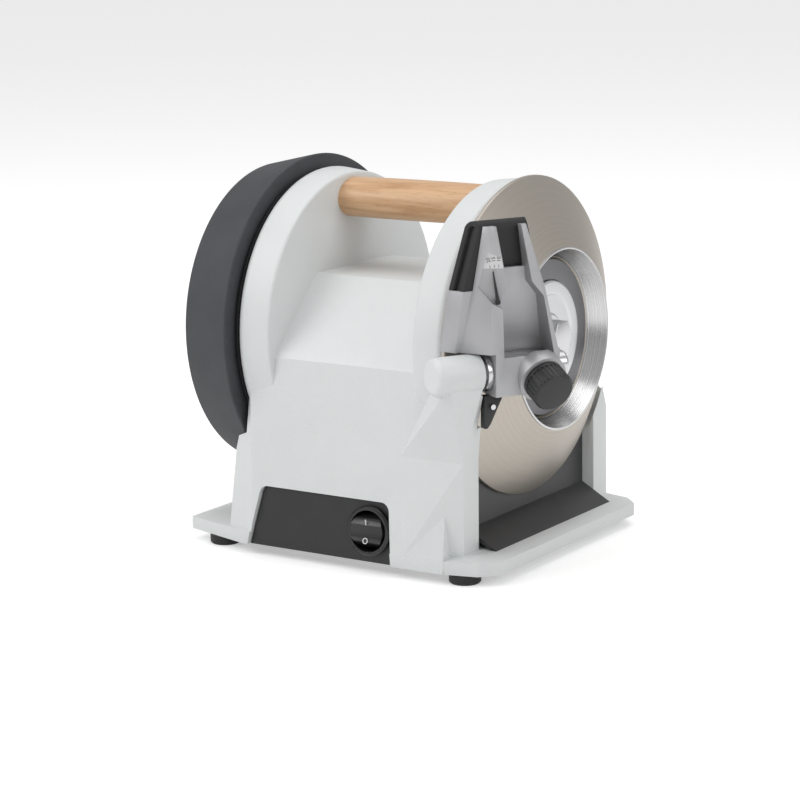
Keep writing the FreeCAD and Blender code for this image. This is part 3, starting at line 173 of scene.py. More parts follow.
class SharpenerSizes(bpy.types.PropertyGroup):
    """Sizes a user would change on the dressed pieces."""

    edge_softness: FloatProperty(
        name="Edge softness",
        description="Width of the soft edge on the cast housing",
        default=0.0012,
        unit="LENGTH",
    )
    fine_edge: FloatProperty(
        name="Fine edge",
        description="Width of the soft edge on small parts",
        default=0.0004,
        unit="LENGTH",
    )
    round_steps: IntProperty(
        name="Round steps",
        description="Segments round a turned piece",
        default=192,
    )


class SharpenerFinish(bpy.types.PropertyGroup):
    """Colours of the visible finishes."""

    cast_paint: FloatVectorProperty(
        name="Cast paint",
        description="Light grey powder coat",
        subtype="COLOR",
        default=(0.70, 0.72, 0.72),
    )
    hone_colour: FloatVectorProperty(
        name="Honing wheel",
        description="Dark grey composite",
        subtype="COLOR",
        default=(0.052, 0.054, 0.060),
    )
    black_plastic: FloatVectorProperty(
        name="Black plastic",
        description="Panel, tray and knob",
        subtype="COLOR",
        default=(0.014, 0.014, 0.015),
    )
    beech: FloatVectorProperty(
        name="Beech",
        description="Mid tone of the wooden handle",
        subtype="COLOR",
        default=(0.66, 0.42, 0.24),
    )
    beech_dark: FloatVectorProperty(
        name="Beech, dark grain",
        description="Dark tone of the wooden handle",
        subtype="COLOR",
        default=(0.50, 0.28, 0.14),
    )
    grinding_face: FloatVectorProperty(
        name="Grinding face",
        description="Warm satin nickel that holds the diamond",
        subtype="COLOR",
        default=(0.50, 0.46, 0.41),
    )
    guide_casting: FloatVectorProperty(
        name="Guide casting",
        description="Mid grey satin casting",
        subtype="COLOR",
        default=(0.42, 0.42, 0.43),
    )


def sizes():
    return bpy.context.scene.sharpener_sizes


def finish():
    return bpy.context.scene.sharpener_finish


def add_socket(group, name, side, start=None):
    """A number that goes into or comes out of a node group."""
    socket = group.interface.new_socket(name, in_out=side, socket_type="NodeSocketFloat")
    if start is not None:
        socket.default_value = start


def two_tone(tree, start, dark, end, light):
    """A ramp from the dark colour at start to the light one at end."""
    ramp = tree.nodes.new("ShaderNodeValToRGB")
    ramp.color_ramp.elements[0].position = start
    ramp.color_ramp.elements[0].color = (*dark, 1)
    ramp.color_ramp.elements[1].position = end
    ramp.color_ramp.elements[1].color = (*light, 1)
    return ramp


def shaded(colour, share):
    return tuple(part * share for part in colour)


def seen_rays(tree, other):
    """One for a camera ray or a ray of the other kind, and nought for the rest."""
    path = tree.nodes.new("ShaderNodeLightPath")
    seen = tree.nodes.new("ShaderNodeMath")
    seen.operation = "MAXIMUM"
    tree.links.new(path.outputs["Is Camera Ray"], seen.inputs[0])
    tree.links.new(path.outputs[other], seen.inputs[1])
    return seen.outputs[0]


def grain_group():
    """Fine all-over grain: a height and a roughness offset from two noises."""
    name = "Fine grain"
    if name in bpy.data.node_groups:
        return bpy.data.node_groups[name]
    group = bpy.data.node_groups.new(name, "ShaderNodeTree")
    add_socket(group, "Size", "INPUT", 900)
    add_socket(group, "Roughness", "INPUT", 0.5)
    add_socket(group, "Spread", "INPUT", 0.1)
    add_socket(group, "Height", "OUTPUT")
    add_socket(group, "Roughness", "OUTPUT")
    nodes, links = group.nodes, group.links
    inlet = nodes.new("NodeGroupInput")
    outlet = nodes.new("NodeGroupOutput")
    place = nodes.new("ShaderNodeTexCoord")
    fine = nodes.new("ShaderNodeTexNoise")
    fine.inputs["Detail"].default_value = 3
    broad = nodes.new("ShaderNodeTexNoise")
    broad.inputs["Scale"].default_value = 45
    broad.inputs["Detail"].default_value = 2
    links.new(place.outputs["Object"], fine.inputs["Vector"])
    links.new(place.outputs["Object"], broad.inputs["Vector"])
    links.new(inlet.outputs["Size"], fine.inputs["Scale"])
    centred = nodes.new("ShaderNodeMath")
    centred.operation = "SUBTRACT"
    centred.inputs[1].default_value = 0.5
    links.new(broad.outputs["Fac"], centred.inputs[0])
    scaled = nodes.new("ShaderNodeMath")
    scaled.operation = "MULTIPLY_ADD"
    links.new(centred.outputs[0], scaled.inputs[0])
    links.new(inlet.outputs["Spread"], scaled.inputs[1])
    links.new(inlet.outputs["Roughness"], scaled.inputs[2])
    links.new(fine.outputs["Fac"], outlet.inputs["Height"])
    links.new(scaled.outputs[0], outlet.inputs["Roughness"])
    return group


def turned_group():
    """Concentric grain about the spindle: a height and a colour mask that follow the radius."""
    name = "Turned grain"
    if name in bpy.data.node_groups:
        return bpy.data.node_groups[name]
    group = bpy.data.node_groups.new(name, "ShaderNodeTree")
    add_socket(group, "Pitch", "INPUT", 2500)
    add_socket(group, "Height", "OUTPUT")
    add_socket(group, "Mask", "OUTPUT")
    nodes, links = group.nodes, group.links
    inlet = nodes.new("NodeGroupInput")
    outlet = nodes.new("NodeGroupOutput")
    place = nodes.new("ShaderNodeTexCoord")
    centre = nodes.new("ShaderNodeVectorMath")
    centre.operation = "SUBTRACT"
    centre.inputs[1].default_value = SPINDLE
    links.new(place.outputs["Object"], centre.inputs[0])
    apart = nodes.new("ShaderNodeSeparateXYZ")
    links.new(centre.outputs[0], apart.inputs[0])
    flat = nodes.new("ShaderNodeCombineXYZ")
    links.new(apart.outputs["Y"], flat.inputs["Y"])
    links.new(apart.outputs["Z"], flat.inputs["Z"])
    radius = nodes.new("ShaderNodeVectorMath")
    radius.operation = "LENGTH"
    links.new(flat.outputs[0], radius.inputs[0])
    joined = nodes.new("ShaderNodeMath")
    joined.operation = "ADD"
    links.new(radius.outputs["Value"], joined.inputs[0])
    links.new(apart.outputs["X"], joined.inputs[1])
    rings = nodes.new("ShaderNodeTexNoise")
    rings.noise_dimensions = "1D"
    rings.inputs["Detail"].default_value = 4
    links.new(joined.outputs[0], rings.inputs["W"])
    links.new(inlet.outputs["Pitch"], rings.inputs["Scale"])
    links.new(rings.outputs["Fac"], outlet.inputs["Height"])
    links.new(rings.outputs["Fac"], outlet.inputs["Mask"])
    return group


def new_material(name, metallic=0.0, roughness=0.5):
    """An empty Principled material with its shader node returned beside it."""
    material = bpy.data.materials.new(name)
    material.use_nodes = True
    shader = material.node_tree.nodes["Principled BSDF"]
    shader.inputs["Metallic"].default_value = metallic
    shader.inputs["Roughness"].default_value = roughness
    return material, shader


def add_group(material, group):
    node = material.node_tree.nodes.new("ShaderNodeGroup")
    node.node_tree = group
    return node


def add_bump(material, shader, height, distance, strength=1.0):
    bump = material.node_tree.nodes.new("ShaderNodeBump")
    bump.inputs["Distance"].default_value = distance
    bump.inputs["Strength"].default_value = strength
    material.node_tree.links.new(height, bump.inputs["Height"])
    material.node_tree.links.new(bump.outputs["Normal"], shader.inputs["Normal"])


def mottled(material, shader, colour, shade, scale):
    """Lets the base colour drift a little between colour and colour times shade."""
    tree = material.node_tree
    place = tree.nodes.new("ShaderNodeTexCoord")
    noise = tree.nodes.new("ShaderNodeTexNoise")
    noise.inputs["Scale"].default_value = scale
    noise.inputs["Detail"].default_value = 4
    ramp = two_tone(tree, 0.35, shaded(colour, shade), 0.65, colour)
    tree.links.new(place.outputs["Object"], noise.inputs["Vector"])
    tree.links.new(noise.outputs["Fac"], ramp.inputs["Fac"])
    tree.links.new(ramp.outputs["Color"], shader.inputs["Base Color"])


def grained(name, colour, metallic, roughness, size, depth, shade=0.94, spread=0.12, drift=60):
    """A material with fine grain in its surface and a slight drift of colour."""
    if name in bpy.data.materials:
        return bpy.data.materials[name]
    material, shader = new_material(name, metallic, roughness)
    grain = add_group(material, grain_group())
    grain.inputs["Size"].default_value = size
    grain.inputs["Roughness"].default_value = roughness
    grain.inputs["Spread"].default_value = spread
    material.node_tree.links.new(grain.outputs["Roughness"], shader.inputs["Roughness"])
    add_bump(material, shader, grain.outputs["Height"], depth)
    mottled(material, shader, colour, shade, drift)
    return material


def turned_metal(name, colour, roughness, pitch, depth, dark=0.8):
    """Metal turned on a lathe, with rings about the spindle."""
    if name in bpy.data.materials:
        return bpy.data.materials[name]
    material, shader = new_material(name, 1.0, roughness)
    rings = add_group(material, turned_group())
    rings.inputs["Pitch"].default_value = pitch
    ramp = two_tone(material.node_tree, 0.3, shaded(colour, dark), 0.7, colour)
    material.node_tree.links.new(rings.outputs["Mask"], ramp.inputs["Fac"])
    material.node_tree.links.new(ramp.outputs["Color"], shader.inputs["Base Color"])
    add_bump(material, shader, rings.outputs["Height"], depth)
    return material


def powder_coat():
    material = grained("Powder coat", finish().cast_paint,
                       metallic=0.0, roughness=0.42, size=1500, depth=0.00012, shade=0.985, spread=0.06)
    material.node_tree.nodes["Principled BSDF"].inputs["Coat Weight"].default_value = 0.05
    return material


def black_plastic():
    return grained("Black plastic", finish().black_plastic,
                   metallic=0.0, roughness=0.42, size=2200, depth=0.00005, shade=0.8)


def tray_plastic():
    return grained("Tray plastic", (0.035, 0.035, 0.037),
                   metallic=0.0, roughness=0.45, size=2200, depth=0.00004, shade=0.85)


def switch_plastic():
    return grained("Switch plastic", (0.010, 0.010, 0.011),
                   metallic=0.0, roughness=0.25, size=2600, depth=0.00001, shade=0.9)


def black_rubber():
    return grained("Black rubber", (0.012, 0.012, 0.012),
                   metallic=0.0, roughness=0.62, size=1800, depth=0.00006, shade=0.8)


def honing_composite():
    return grained("Honing composite", finish().hone_colour,
                   metallic=0.0, roughness=0.66, size=1300, depth=0.00012, shade=0.86)


def guide_casting():
    return grained("Guide casting", finish().guide_casting,
                   metallic=0.55, roughness=0.42, size=2400, depth=0.00005, shade=0.95)


def bright_steel():
    return grained("Bright steel", (0.60, 0.60, 0.61),
                   metallic=1.0, roughness=0.22, size=3000, depth=0.00001, shade=0.95)


def zinc_plate():
    return grained("Zinc plate", (0.48, 0.48, 0.47),
                   metallic=1.0, roughness=0.4, size=2600, depth=0.00002, shade=0.85)


def motor_paint():
    return grained("Motor paint", (0.05, 0.05, 0.055),
                   metallic=0.3, roughness=0.4, size=1500, depth=0.00004, shade=0.85)


def board_green():
    return grained("Board green", (0.02, 0.11, 0.04),
                   metallic=0.0, roughness=0.35, size=1500, depth=0.00002, shade=0.8)


def scale_silver():
    return grained("Scale silver", (0.62, 0.62, 0.62),
                   metallic=0.7, roughness=0.35, size=2600, depth=0.00001, shade=0.97)


def mark_white():
    return grained("Mark white", (0.62, 0.62, 0.62),
                   metallic=0.0, roughness=0.5, size=2600, depth=0.000005, shade=0.97)


def mark_black():
    return grained("Mark black", (0.02, 0.02, 0.02),
                   metallic=0.0, roughness=0.5, size=2600, depth=0.000005, shade=0.97)


def diamond_face():
    return turned_metal("Diamond face", finish().grinding_face,
                        roughness=0.46, pitch=2600, depth=0.00002, dark=0.93)


def bore_metal():
    return turned_metal("Turned bore", (0.66, 0.66, 0.66),
                        roughness=0.24, pitch=1500, depth=0.00003, dark=0.72)


def hub_grey():
    return grained("Hub grey", (0.20, 0.20, 0.21),
                   metallic=0.85, roughness=0.42, size=2200, depth=0.00002, shade=0.9)


def hub_silver():
    return turned_metal("Hub silver", (0.66, 0.67, 0.68),
                        roughness=0.34, pitch=1800, depth=0.00001, dark=0.9)


def beech_wood():
    """Beech with long grain along X and short darker flecks."""
    name = "Beech"
    if name in bpy.data.materials:
        return bpy.data.materials[name]
    material, shader = new_material(name, 0.0, 0.44)
    tree = material.node_tree
    place = tree.nodes.new("ShaderNodeTexCoord")
    stretch = tree.nodes.new("ShaderNodeMapping")
    stretch.inputs["Scale"].default_value = (0.10, 1, 1)
    tree.links.new(place.outputs["Object"], stretch.inputs["Vector"])
    bands = tree.nodes.new("ShaderNodeTexNoise")
    bands.inputs["Scale"].default_value = 190
    bands.inputs["Detail"].default_value = 6
    bands.inputs["Distortion"].default_value = 1.2
    flecks = tree.nodes.new("ShaderNodeTexNoise")
    flecks.inputs["Scale"].default_value = 1500
    flecks.inputs["Detail"].default_value = 2
    tree.links.new(stretch.outputs["Vector"], bands.inputs["Vector"])
    tree.links.new(stretch.outputs["Vector"], flecks.inputs["Vector"])
    ramp = two_tone(tree, 0.30, finish().beech_dark, 0.60, finish().beech)
    tree.links.new(bands.outputs["Fac"], ramp.inputs["Fac"])
    fleck_ramp = two_tone(tree, 0.33, (0.72, 0.66, 0.60), 0.42, (1, 1, 1))
    tree.links.new(flecks.outputs["Fac"], fleck_ramp.inputs["Fac"])
    mix = tree.nodes.new("ShaderNodeMix")
    mix.data_type = "RGBA"
    mix.blend_type = "MULTIPLY"
    mix.inputs["Factor"].default_value = 0.6
    tree.links.new(ramp.outputs["Color"], mix.inputs[6])
    tree.links.new(fleck_ramp.outputs["Color"], mix.inputs[7])
    tree.links.new(mix.outputs[2], shader.inputs["Base Color"])
    add_bump(material, shader, flecks.outputs["Fac"], 0.00006)
    return material


def paint(node, material):
    """Gives a CAD node its finished material."""
    mesh = NODES[node].data
    if not mesh.materials:
        mesh.materials.append(material)
    for index in range(len(mesh.materials)):
        NODES[node].material_slots[index].link = "OBJECT"
        NODES[node].material_slots[index].material = material


def add_piece(name, mesh, body, material, smooth=0.6):
    """Makes an object of a bmesh and lets it ride on its body."""
    data = bpy.data.meshes.new(name)
    mesh.to_mesh(data)
    mesh.free()
    piece = bpy.data.objects.new(name, data)
    bpy.context.scene.collection.objects.link(piece)
    data.materials.append(material)
    for face in data.polygons:
        face.use_smooth = True
    data.set_sharp_from_angle(angle=smooth)
    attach(piece, body)
    return piece


def spun(mesh, corners, centre, axis, steps):
    """Joins the corners into a loop and turns it once about an axis through centre."""
    edges = [mesh.edges.new((corners[k - 1], corners[k])) for k in range(len(corners))]
    bmesh.ops.spin(mesh, geom=corners + edges, cent=centre, axis=axis, angle=2 * math.pi,
                   steps=steps, use_merge=True)
    bmesh.ops.remove_doubles(mesh, verts=mesh.verts, dist=MERGE_GAP)
    bmesh.ops.recalc_face_normals(mesh, faces=mesh.faces)


def lathe(outline, centre, steps):
    """Turns a closed outline of (x, radius) pairs in millimetres about the X axis through centre."""
    mesh = bmesh.new()
    corners = [mesh.verts.new(centre + Vector((x, 0, radius)) * MM) for x, radius in outline]
    spun(mesh, corners, centre, (1, 0, 0), steps)
    return mesh


def eased(outline, radii, steps=5):
    """Rounds the corners of a closed outline; radii maps a corner's index to its radius."""
    smooth = []
    for k, corner in enumerate(outline):
        here = Vector(corner)
        radius = radii.get(k, 0)
        if radius == 0:
            smooth.append(tuple(here))
            continue
        start = (Vector(outline[k - 1]) - here).normalized() * radius + here
        end = (Vector(outline[(k + 1) % len(outline)]) - here).normalized() * radius + here
        for step in range(steps + 1):
            share = step / steps
            smooth.append(tuple(start.lerp(here, share).lerp(here.lerp(end, share), share)))
    return smooth


def plain_block(low, high, place):
    """A box between two corners in millimetres, moved by a placement matrix."""
    mesh = bmesh.new()
    bmesh.ops.create_cube(mesh, size=1)
    size = Vector(high) - Vector(low)
    middle = (Vector(high) + Vector(low)) / 2
    bmesh.ops.scale(mesh, vec=size * MM, verts=mesh.verts)
    bmesh.ops.translate(mesh, vec=middle * MM, verts=mesh.verts)
    bmesh.ops.transform(mesh, matrix=place, verts=mesh.verts)
    return mesh


def flat_ring(outer, inner, height, place):
    """A flat ring about the placement's Y axis, standing out by height towards -Y."""
    mesh = bmesh.new()
    outline = ((inner, 0), (outer, 0), (outer, -height), (inner, -height))
    corners = [mesh.verts.new(Vector((radius, depth, 0)) * MM) for radius, depth in outline]
    spun(mesh, corners, (0, 0, 0), (0, 1, 0), 48)
    bmesh.ops.transform(mesh, matrix=place, verts=mesh.verts)
    return mesh


def figure(words, height, place):
    """Flat figures as a mesh, centred on the placement and facing its -Y."""
    curve = bpy.data.curves.new("figure", "FONT")
    curve.body = words
    curve.size = height * MM
    curve.extrude = FIGURE_RISE * MM
    curve.align_x = "CENTER"
    curve.align_y = "CENTER"
    holder = bpy.data.objects.new("figure", curve)
    flat = bpy.data.meshes.new_from_object(holder)
    mesh = bmesh.new()
    mesh.from_mesh(flat)
    bpy.data.objects.remove(holder)
    bpy.data.curves.remove(curve)
    bpy.data.meshes.remove(flat)
    upright = Matrix.Rotation(math.pi / 2, 4, "X")
    bmesh.ops.transform(mesh, matrix=place @ upright, verts=mesh.verts)
    return mesh


def frame_at(origin, along, up):
    """Placement whose X runs along the first direction and whose Z is nearest to up."""
    x = Vector(along).normalized()
    y = Vector(up).cross(x).normalized()
    z = x.cross(y)
    place = Matrix((x, y, z)).transposed().to_4x4()
    place.translation = origin
    return place


def guide_place():
    """The guide's own frame: X along the bar from its root, -Y away from the wheel, Z up."""
    tilt = JOINTS["guide_tilt"]
    axis = Vector(tilt["axis"])
    root = Vector(tilt["pos_m"]) - axis * TILT_MARK * MM
    return frame_at(root, axis, (0, 0, 1))


def window_place():
    """Frame of the scale window in the guide's left cheek."""
    turn = Matrix.Rotation(math.radians(-WINDOW_TURN), 4, "Z")
    return guide_place() @ Matrix.Translation(Vector((WINDOW_X, WINDOW_Y, 0)) * MM) @ turn


def softened(node, body, width, material, segments=3, angle=0.5):
    """A merged copy of a CAD node with its sharp edges rounded off."""
    mesh = bmesh.new()
    mesh.from_mesh(NODES[node].data)
    bmesh.ops.remove_doubles(mesh, verts=mesh.verts, dist=NODE_MERGE_GAP)
    bmesh.ops.dissolve_limit(mesh, angle_limit=0.02, verts=mesh.verts, edges=mesh.edges)
    sharp = [e for e in mesh.edges if len(e.link_faces) == 2 and e.calc_face_angle() > angle]
    bmesh.ops.bevel(mesh, geom=sharp, offset=width, segments=segments, profile=0.5, affect="EDGES",
                    clamp_overlap=True, material=-1)
    piece = add_piece("soft_" + node, mesh, body, material)
    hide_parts(node)
    return piece


class SHARPENER_OT_stage(bpy.types.Operator):
    """Floor, camera and soft studio lights."""

    bl_idname = "sharpener.stage"
    bl_label = "Stage"

    def execute(self, context):
        scene = context.scene
        scene.view_settings.view_transform = "Standard"
        mesh = bmesh.new()
        bmesh.ops.create_grid(mesh, x_segments=1, y_segments=1, size=FLOOR_REACH)
        data = bpy.data.meshes.new("studio_floor")
        mesh.to_mesh(data)
        mesh.free()
        floor = bpy.data.objects.new("studio_floor", data)
        scene.collection.objects.link(floor)
        data.materials.append(self.floor_material())
        self.add_camera(scene)
        self.add_world(scene)
        for lamp in LAMPS:
            self.add_lamp(*lamp)
        return {"FINISHED"}

    def floor_material(self):
        """White floor that keeps the shadow; what the camera sees is lifted to white."""
        material, shader = new_material("Studio floor", 0.0, 0.9)
        shader.inputs["Base Color"].default_value = (0.85, 0.85, 0.85, 1)
        shader.inputs["Emission Color"].default_value = (1, 1, 1, 1)
        tree = material.node_tree
        lift = tree.nodes.new("ShaderNodeMath")
        lift.operation = "MULTIPLY"
        lift.inputs[1].default_value = FLOOR_LIFT
        tree.links.new(seen_rays(tree, "Is Glossy Ray"), lift.inputs[0])
        tree.links.new(lift.outputs[0], shader.inputs["Emission Strength"])
        return material

    def add_camera(self, scene):
        azimuth = math.radians(CAMERA_AZIMUTH)
        tilt = math.radians(CAMERA_TILT)
        roll = math.radians(CAMERA_ROLL)
        level = math.cos(tilt)
        back = Vector((math.sin(azimuth) * level, -math.cos(azimuth) * level, math.sin(tilt)))
        right = Vector((math.cos(azimuth), math.sin(azimuth), 0))
        up = back.cross(right)
        right_rolled = right * math.cos(roll) + up * math.sin(roll)
        up_rolled = up * math.cos(roll) - right * math.sin(roll)
        place = Matrix((right_rolled, up_rolled, back)).transposed().to_4x4()
        place.translation = SPINDLE + Vector(CAMERA_OFFSET)
        data = bpy.data.cameras.new("photo_camera")
        data.lens = CAMERA_LENS
        data.sensor_width = CAMERA_SENSOR
        camera = bpy.data.objects.new("photo_camera", data)
        camera.matrix_world = place
        scene.collection.objects.link(camera)
        scene.camera = camera

    def add_world(self, scene):
        world = bpy.data.worlds.new("studio")
        world.use_nodes = True
        tree = world.node_tree
        shade = tree.nodes["Background"]
        level = tree.nodes.new("ShaderNodeMapRange")
        level.inputs["To Min"].default_value = WORLD_LIGHT
        level.inputs["To Max"].default_value = WORLD_SEEN
        tree.links.new(seen_rays(tree, "Is Transmission Ray"), level.inputs["Value"])
        tree.links.new(level.outputs[0], shade.inputs["Strength"])
        shade.inputs["Color"].default_value = (1, 1, 1, 1)
        scene.world = world

    def add_lamp(self, name, place, size, power):
        data = bpy.data.lights.new(name, "AREA")
        data.shape = "SQUARE"
        data.size = size
        data.energy = power
        lamp = bpy.data.objects.new(name, data)
        lamp.location = place
        aim = Vector(LAMP_AIM) - Vector(place)
        lamp.rotation_euler = aim.to_track_quat("-Z", "Y").to_euler()
        bpy.context.scene.collection.objects.link(lamp)


class SHARPENER_OT_finishes(bpy.types.Operator):
    """Finished materials on the frame's own nodes."""

    bl_idname = "sharpener.finishes"
    bl_label = "Finishes"

    def execute(self, context):
        table = {
            powder_coat: ("housing", "bar_cap"),
            black_plastic: ("front_panel", "dust_ring", "cord_gland", "belt_core", "angle_pointer",
                            "lock_knob", "stop_clip"),
            tray_plastic: ("right_tray",),
            switch_plastic: ("switch_bezel", "switch_rocker"),
            black_rubber: ("rubber_feet", "drive_belt", "guide_belt"),
            honing_composite: ("honing_wheel",),
            guide_casting: ("guide_body",),
            bright_steel: ("support_bar", "bearing_right", "bearing_left", "spindle_shaft",
                           "motor_shaft", "guide_sleeve", "clip_pin"),
            zinc_plate: ("base_plate", "base_screws", "handle_screws", "motor_bracket",
                         "honing_nut", "knob_stud"),
            motor_paint: ("gear_motor",),
            board_green: ("control_board",),
            scale_silver: ("scale_plate",),
            diamond_face: ("diamond_wheel",),
            hub_grey: ("wheel_flange",),
            hub_silver: ("hub_disc", "wheel_nut", "honing_flange", "spindle_pulley", "motor_pulley"),
            beech_wood: ("carry_handle",),
        }
        for make, nodes in table.items():
            for node in nodes:
                paint(node, make())
        return {"FINISHED"}


class SHARPENER_OT_grinding_wheel(bpy.types.Operator):
    """Conical grinding wheel with its turned bore and the bright line at the bore's edge."""

    bl_idname = "sharpener.grinding_wheel"
    bl_label = "Grinding wheel"

    def execute(self, context):
        steps = sizes().round_steps
        cup = [(-RIM_THICK, WHEEL_RADIUS), (0, WHEEL_RADIUS), (FACE_INNER_X, BORE_EDGE_RADIUS),
               (BORE_FOOT_X, BORE_FOOT_RADIUS), (WEB_X, BORE_FOOT_RADIUS - BORE_FOOT_SLOPE),
               (WEB_X, SHAFT_RADIUS), (WEB_X - WEB_THICK, SHAFT_RADIUS),
               (WEB_X - WEB_THICK, BORE_FOOT_RADIUS),
               (FACE_INNER_X - CUP_THICK, BORE_EDGE_RADIUS + CUP_STEP),
               (-RIM_THICK, WHEEL_RADIUS - RIM_DEEP)]
        body = lathe(eased(cup, {1: 0.5, 2: 0.3}), SPINDLE, steps)
        wheel = add_piece("grinding_wheel_face", body, "spindle", diamond_face(), 0.5)
        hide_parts("diamond_wheel")
        bore = [(FACE_INNER_X + LINER_LIFT, BORE_EDGE_RADIUS + LINER_OVERLAP),
                (FACE_INNER_X + LINER_LIFT, BORE_EDGE_RADIUS - LINER_THICK),
                (BORE_FOOT_X, BORE_FOOT_RADIUS - LINER_FOOT),
                (BORE_FOOT_X - LINER_SEAT, BORE_FOOT_RADIUS)]
        liner = lathe(bore, SPINDLE, steps)
        add_piece("grinding_wheel_bore", liner, "spindle", bore_metal(), 0.4)
        line = [(FACE_INNER_X + x, BORE_EDGE_RADIUS + radius) for x, radius in EDGE_LINE]
        edge = lathe(line, SPINDLE, steps)
        add_piece("bore_edge_line", edge, "spindle", bright_steel(), 0.9)
        return {"FINISHED"}


class SHARPENER_OT_wheel_hub(bpy.types.Operator):
    """Dark flange, light clamping disc and nut in the bore."""

    bl_idname = "sharpener.wheel_hub"
    bl_label = "Wheel hub"

    def execute(self, context):
        steps = sizes().round_steps
        face = WEB_X + FLANGE_THICK
        ring = [(WEB_X, FLANGE_INNER_RADIUS), (face, FLANGE_INNER_RADIUS), (face, FLANGE_RADIUS),
                (WEB_X, FLANGE_RADIUS)]
        flange = add_piece("hub_flange", lathe(eased(ring, {1: 0.3, 2: 0.4}), SPINDLE, steps),
                           "spindle", hub_grey(), 0.5)
        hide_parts("wheel_flange")
        front = WEB_X + DISC_THICK
        groove = front - GROOVE_DEPTH
        disc = [(WEB_X, SHAFT_RADIUS), (WEB_X, DISC_RADIUS), (front, DISC_RADIUS),
                (front, GROOVE_OUTER_RADIUS), (groove, GROOVE_OUTER_RADIUS - GROOVE_SLOPE),
                (groove, GROOVE_INNER_RADIUS + GROOVE_SLOPE), (front, GROOVE_INNER_RADIUS),
                (front, SHAFT_RADIUS)]
        body = lathe(eased(disc, {2: 1.2, 3: 0.3, 6: 0.3}), SPINDLE, steps)
        plate = add_piece("hub_plate", body, "spindle", hub_silver(), 0.5)
        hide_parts("hub_disc")
        softened("wheel_nut", "spindle", sizes().fine_edge, bright_steel())
        return {"FINISHED"}


class SHARPENER_OT_honing_wheel(bpy.types.Operator):
    """Wide honing wheel of dark composite with soft edges."""

    bl_idname = "sharpener.honing_wheel"
    bl_label = "Honing wheel"

    def execute(self, context):
        outline = [(HONE_RIGHT, SHAFT_RADIUS), (HONE_RIGHT, HONE_RADIUS), (HONE_LEFT, HONE_FAR_RADIUS),
                   (HONE_LEFT, SHAFT_RADIUS)]
        body = lathe(eased(outline, {1: HONE_EDGE, 2: HONE_FAR_EDGE}), SPINDLE, sizes().round_steps)
        wheel = add_piece("honing_wheel_body", body, "spindle", honing_composite(), 0.6)
        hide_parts("honing_wheel")
        return {"FINISHED"}


class SHARPENER_OT_housing(bpy.types.Operator):
    """Cast housing with its sharp edges softened."""

    bl_idname = "sharpener.housing"
    bl_label = "Housing"

    def execute(self, context):
        softened("housing", "machine", sizes().edge_softness, powder_coat(), 3, 0.35)
        return {"FINISHED"}


class SHARPENER_OT_handle(bpy.types.Operator):
    """Oval wooden grip between the cheeks."""

    bl_idname = "sharpener.handle"
    bl_label = "Carrying handle"

    def execute(self, context):
        low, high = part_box("carry_handle")
        middle = (Vector(low) + Vector(high)) / 2
        half = (Vector(high) - Vector(low)) / 2
        half_x = half.x / MM
        full = half.z / MM
        outline = [(-half_x, GRIP_END_RADIUS)]
        for k in range(GRIP_ROWS + 1):
            share = 2 * k / GRIP_ROWS - 1
            outline.append((half_x * share, full - GRIP_SWELL * share * share))
        outline.append((half_x, GRIP_END_RADIUS))
        mesh = lathe(outline, middle, GRIP_STEPS)
        wide = Vector((1, half.y / half.z, 1))
        bmesh.ops.translate(mesh, vec=-middle, verts=mesh.verts)
        bmesh.ops.scale(mesh, vec=wide, verts=mesh.verts)
        bmesh.ops.translate(mesh, vec=middle, verts=mesh.verts)
        grip = add_piece("wooden_grip", mesh, "machine", beech_wood(), 0.7)
        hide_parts("carry_handle")
        return {"FINISHED"}


class SHARPENER_OT_switch_marks(bpy.types.Operator):
    """On and off marks on the rocker."""

    bl_idname = "sharpener.switch_marks"
    bl_label = "Switch marks"

    def execute(self, context):
        rock = JOINTS["switch_rock"]
        lean = Matrix.Rotation(math.radians(ROCKER_LEAN), 4, "X")
        pivot = Matrix.Translation(Vector(rock["pos_m"])) @ lean
        for name, height in (("on", MARK_PLACE_Z), ("off", -MARK_PLACE_Z)):
            turn = math.asin(height / ROCKER_DISH_RADIUS)
            depth = ROCKER_FACE_Y - (ROCKER_DISH_RADIUS - ROCKER_DISH_RADIUS * math.cos(turn))
            place = pivot @ Matrix.Translation(Vector((0, depth, height)) * MM)
            place = place @ Matrix.Rotation(turn, 4, "X")
            if name == "on":
                mesh = plain_block((-ON_HALF_WIDTH, -PRINT_LIFT, -ON_HALF_HEIGHT),
                                   (ON_HALF_WIDTH, MARK_SINK, ON_HALF_HEIGHT), place)
            else:
                sunk = place @ Matrix.Translation(Vector((0, MARK_SINK, 0)) * MM)
                mesh = flat_ring(OFF_RADIUS, OFF_INNER_RADIUS, OFF_HEIGHT, sunk)
            add_piece("switch_mark_" + name, mesh, "rocker", mark_white(), 0.5)
        return {"FINISHED"}


class SHARPENER_OT_switch(bpy.types.Operator):
    """Bezel and rocker with softened edges."""

    bl_idname = "sharpener.switch"
    bl_label = "Switch"

    def execute(self, context):
        softened("switch_bezel", "machine", SMALL_EDGE, switch_plastic())
        softened("switch_rocker", "rocker", SMALL_EDGE, switch_plastic())
        return {"FINISHED"}


class SHARPENER_OT_guide(bpy.types.Operator):
    """Knife guide: cast body, belt and small pieces with softened edges."""

    bl_idname = "sharpener.guide"
    bl_label = "Knife guide"

    def execute(self, context):
        softened("guide_body", "guide", CASTING_EDGE, guide_casting(), 2, 0.4)
        softened("guide_belt", "guide", SMALL_EDGE, black_rubber(), 2, 0.6)
        softened("stop_clip", "guide", sizes().fine_edge, black_plastic(), 2)
        softened("lock_knob", "knob", KNOB_EDGE, black_plastic(), 2, 0.6)
        return {"FINISHED"}


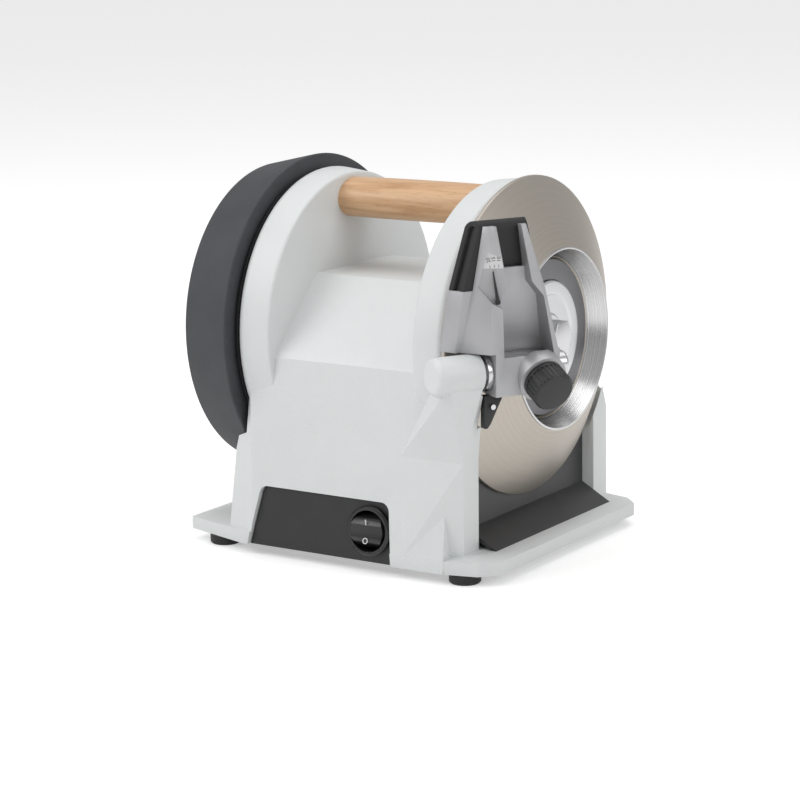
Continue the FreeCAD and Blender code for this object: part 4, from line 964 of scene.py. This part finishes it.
class SHARPENER_OT_scale(bpy.types.Operator):
    """Angle figures and ticks on the scale plate."""

    bl_idname = "sharpener.scale"
    bl_label = "Angle scale"

    def execute(self, context):
        foot = Vector((SCALE_PIVOT_X, SCALE_FACE_Y - PRINT_LIFT, SCALE_PIVOT_Z)) * MM
        pivot = window_place() @ Matrix.Translation(foot)
        upright = Matrix.Rotation(-math.pi / 2, 4, "Y")
        for words, steps in (("20", 1), ("15", 0), ("10", -1)):
            turn = math.radians(SCALE_MIDDLE + steps * SCALE_STEP)
            swung = pivot @ Matrix.Rotation(turn, 4, Vector((0, -1, 0)))
            spot = swung @ Matrix.Translation(Vector((0, 0, SCALE_REACH)) * MM) @ upright
            add_piece("angle_" + words, figure(words, FIGURE_HEIGHT, spot), "guide", mark_black(),
                      0.5)
            tick = plain_block((-TICK_HALF_WIDTH, -TICK_LIFT, TICK_START),
                               (TICK_HALF_WIDTH, TICK_SINK, TICK_END), swung)
            add_piece("tick_" + words, tick, "guide", mark_black(), 0.5)
        return {"FINISHED"}


PIECES = (
    SHARPENER_OT_finishes,
    SHARPENER_OT_housing,
    SHARPENER_OT_honing_wheel,
    SHARPENER_OT_grinding_wheel,
    SHARPENER_OT_wheel_hub,
    SHARPENER_OT_handle,
    SHARPENER_OT_switch,
    SHARPENER_OT_switch_marks,
    SHARPENER_OT_guide,
    SHARPENER_OT_scale,
    SHARPENER_OT_stage,
)


class SHARPENER_PT_pieces(bpy.types.Panel):
    """Lists the pieces of the sharpener."""

    bl_label = "Sharpener"
    bl_idname = "SHARPENER_PT_pieces"
    bl_space_type = "VIEW_3D"
    bl_region_type = "UI"
    bl_category = "Sharpener"

    def draw(self, context):
        for piece in PIECES:
            self.layout.operator(piece.bl_idname)


CLASSES = (SharpenerSizes, SharpenerFinish, *PIECES, SHARPENER_PT_pieces)


def register():
    for item in CLASSES:
        bpy.utils.register_class(item)
    bpy.types.Scene.sharpener_sizes = PointerProperty(type=SharpenerSizes)
    bpy.types.Scene.sharpener_finish = PointerProperty(type=SharpenerFinish)


def unregister():
    del bpy.types.Scene.sharpener_finish
    del bpy.types.Scene.sharpener_sizes
    for item in reversed(CLASSES):
        bpy.utils.unregister_class(item)


def main():
    register()
    for piece in PIECES:
        group, name = piece.bl_idname.split(".")
        getattr(getattr(bpy.ops, group), name)()


if __name__ == "__main__":
    main()
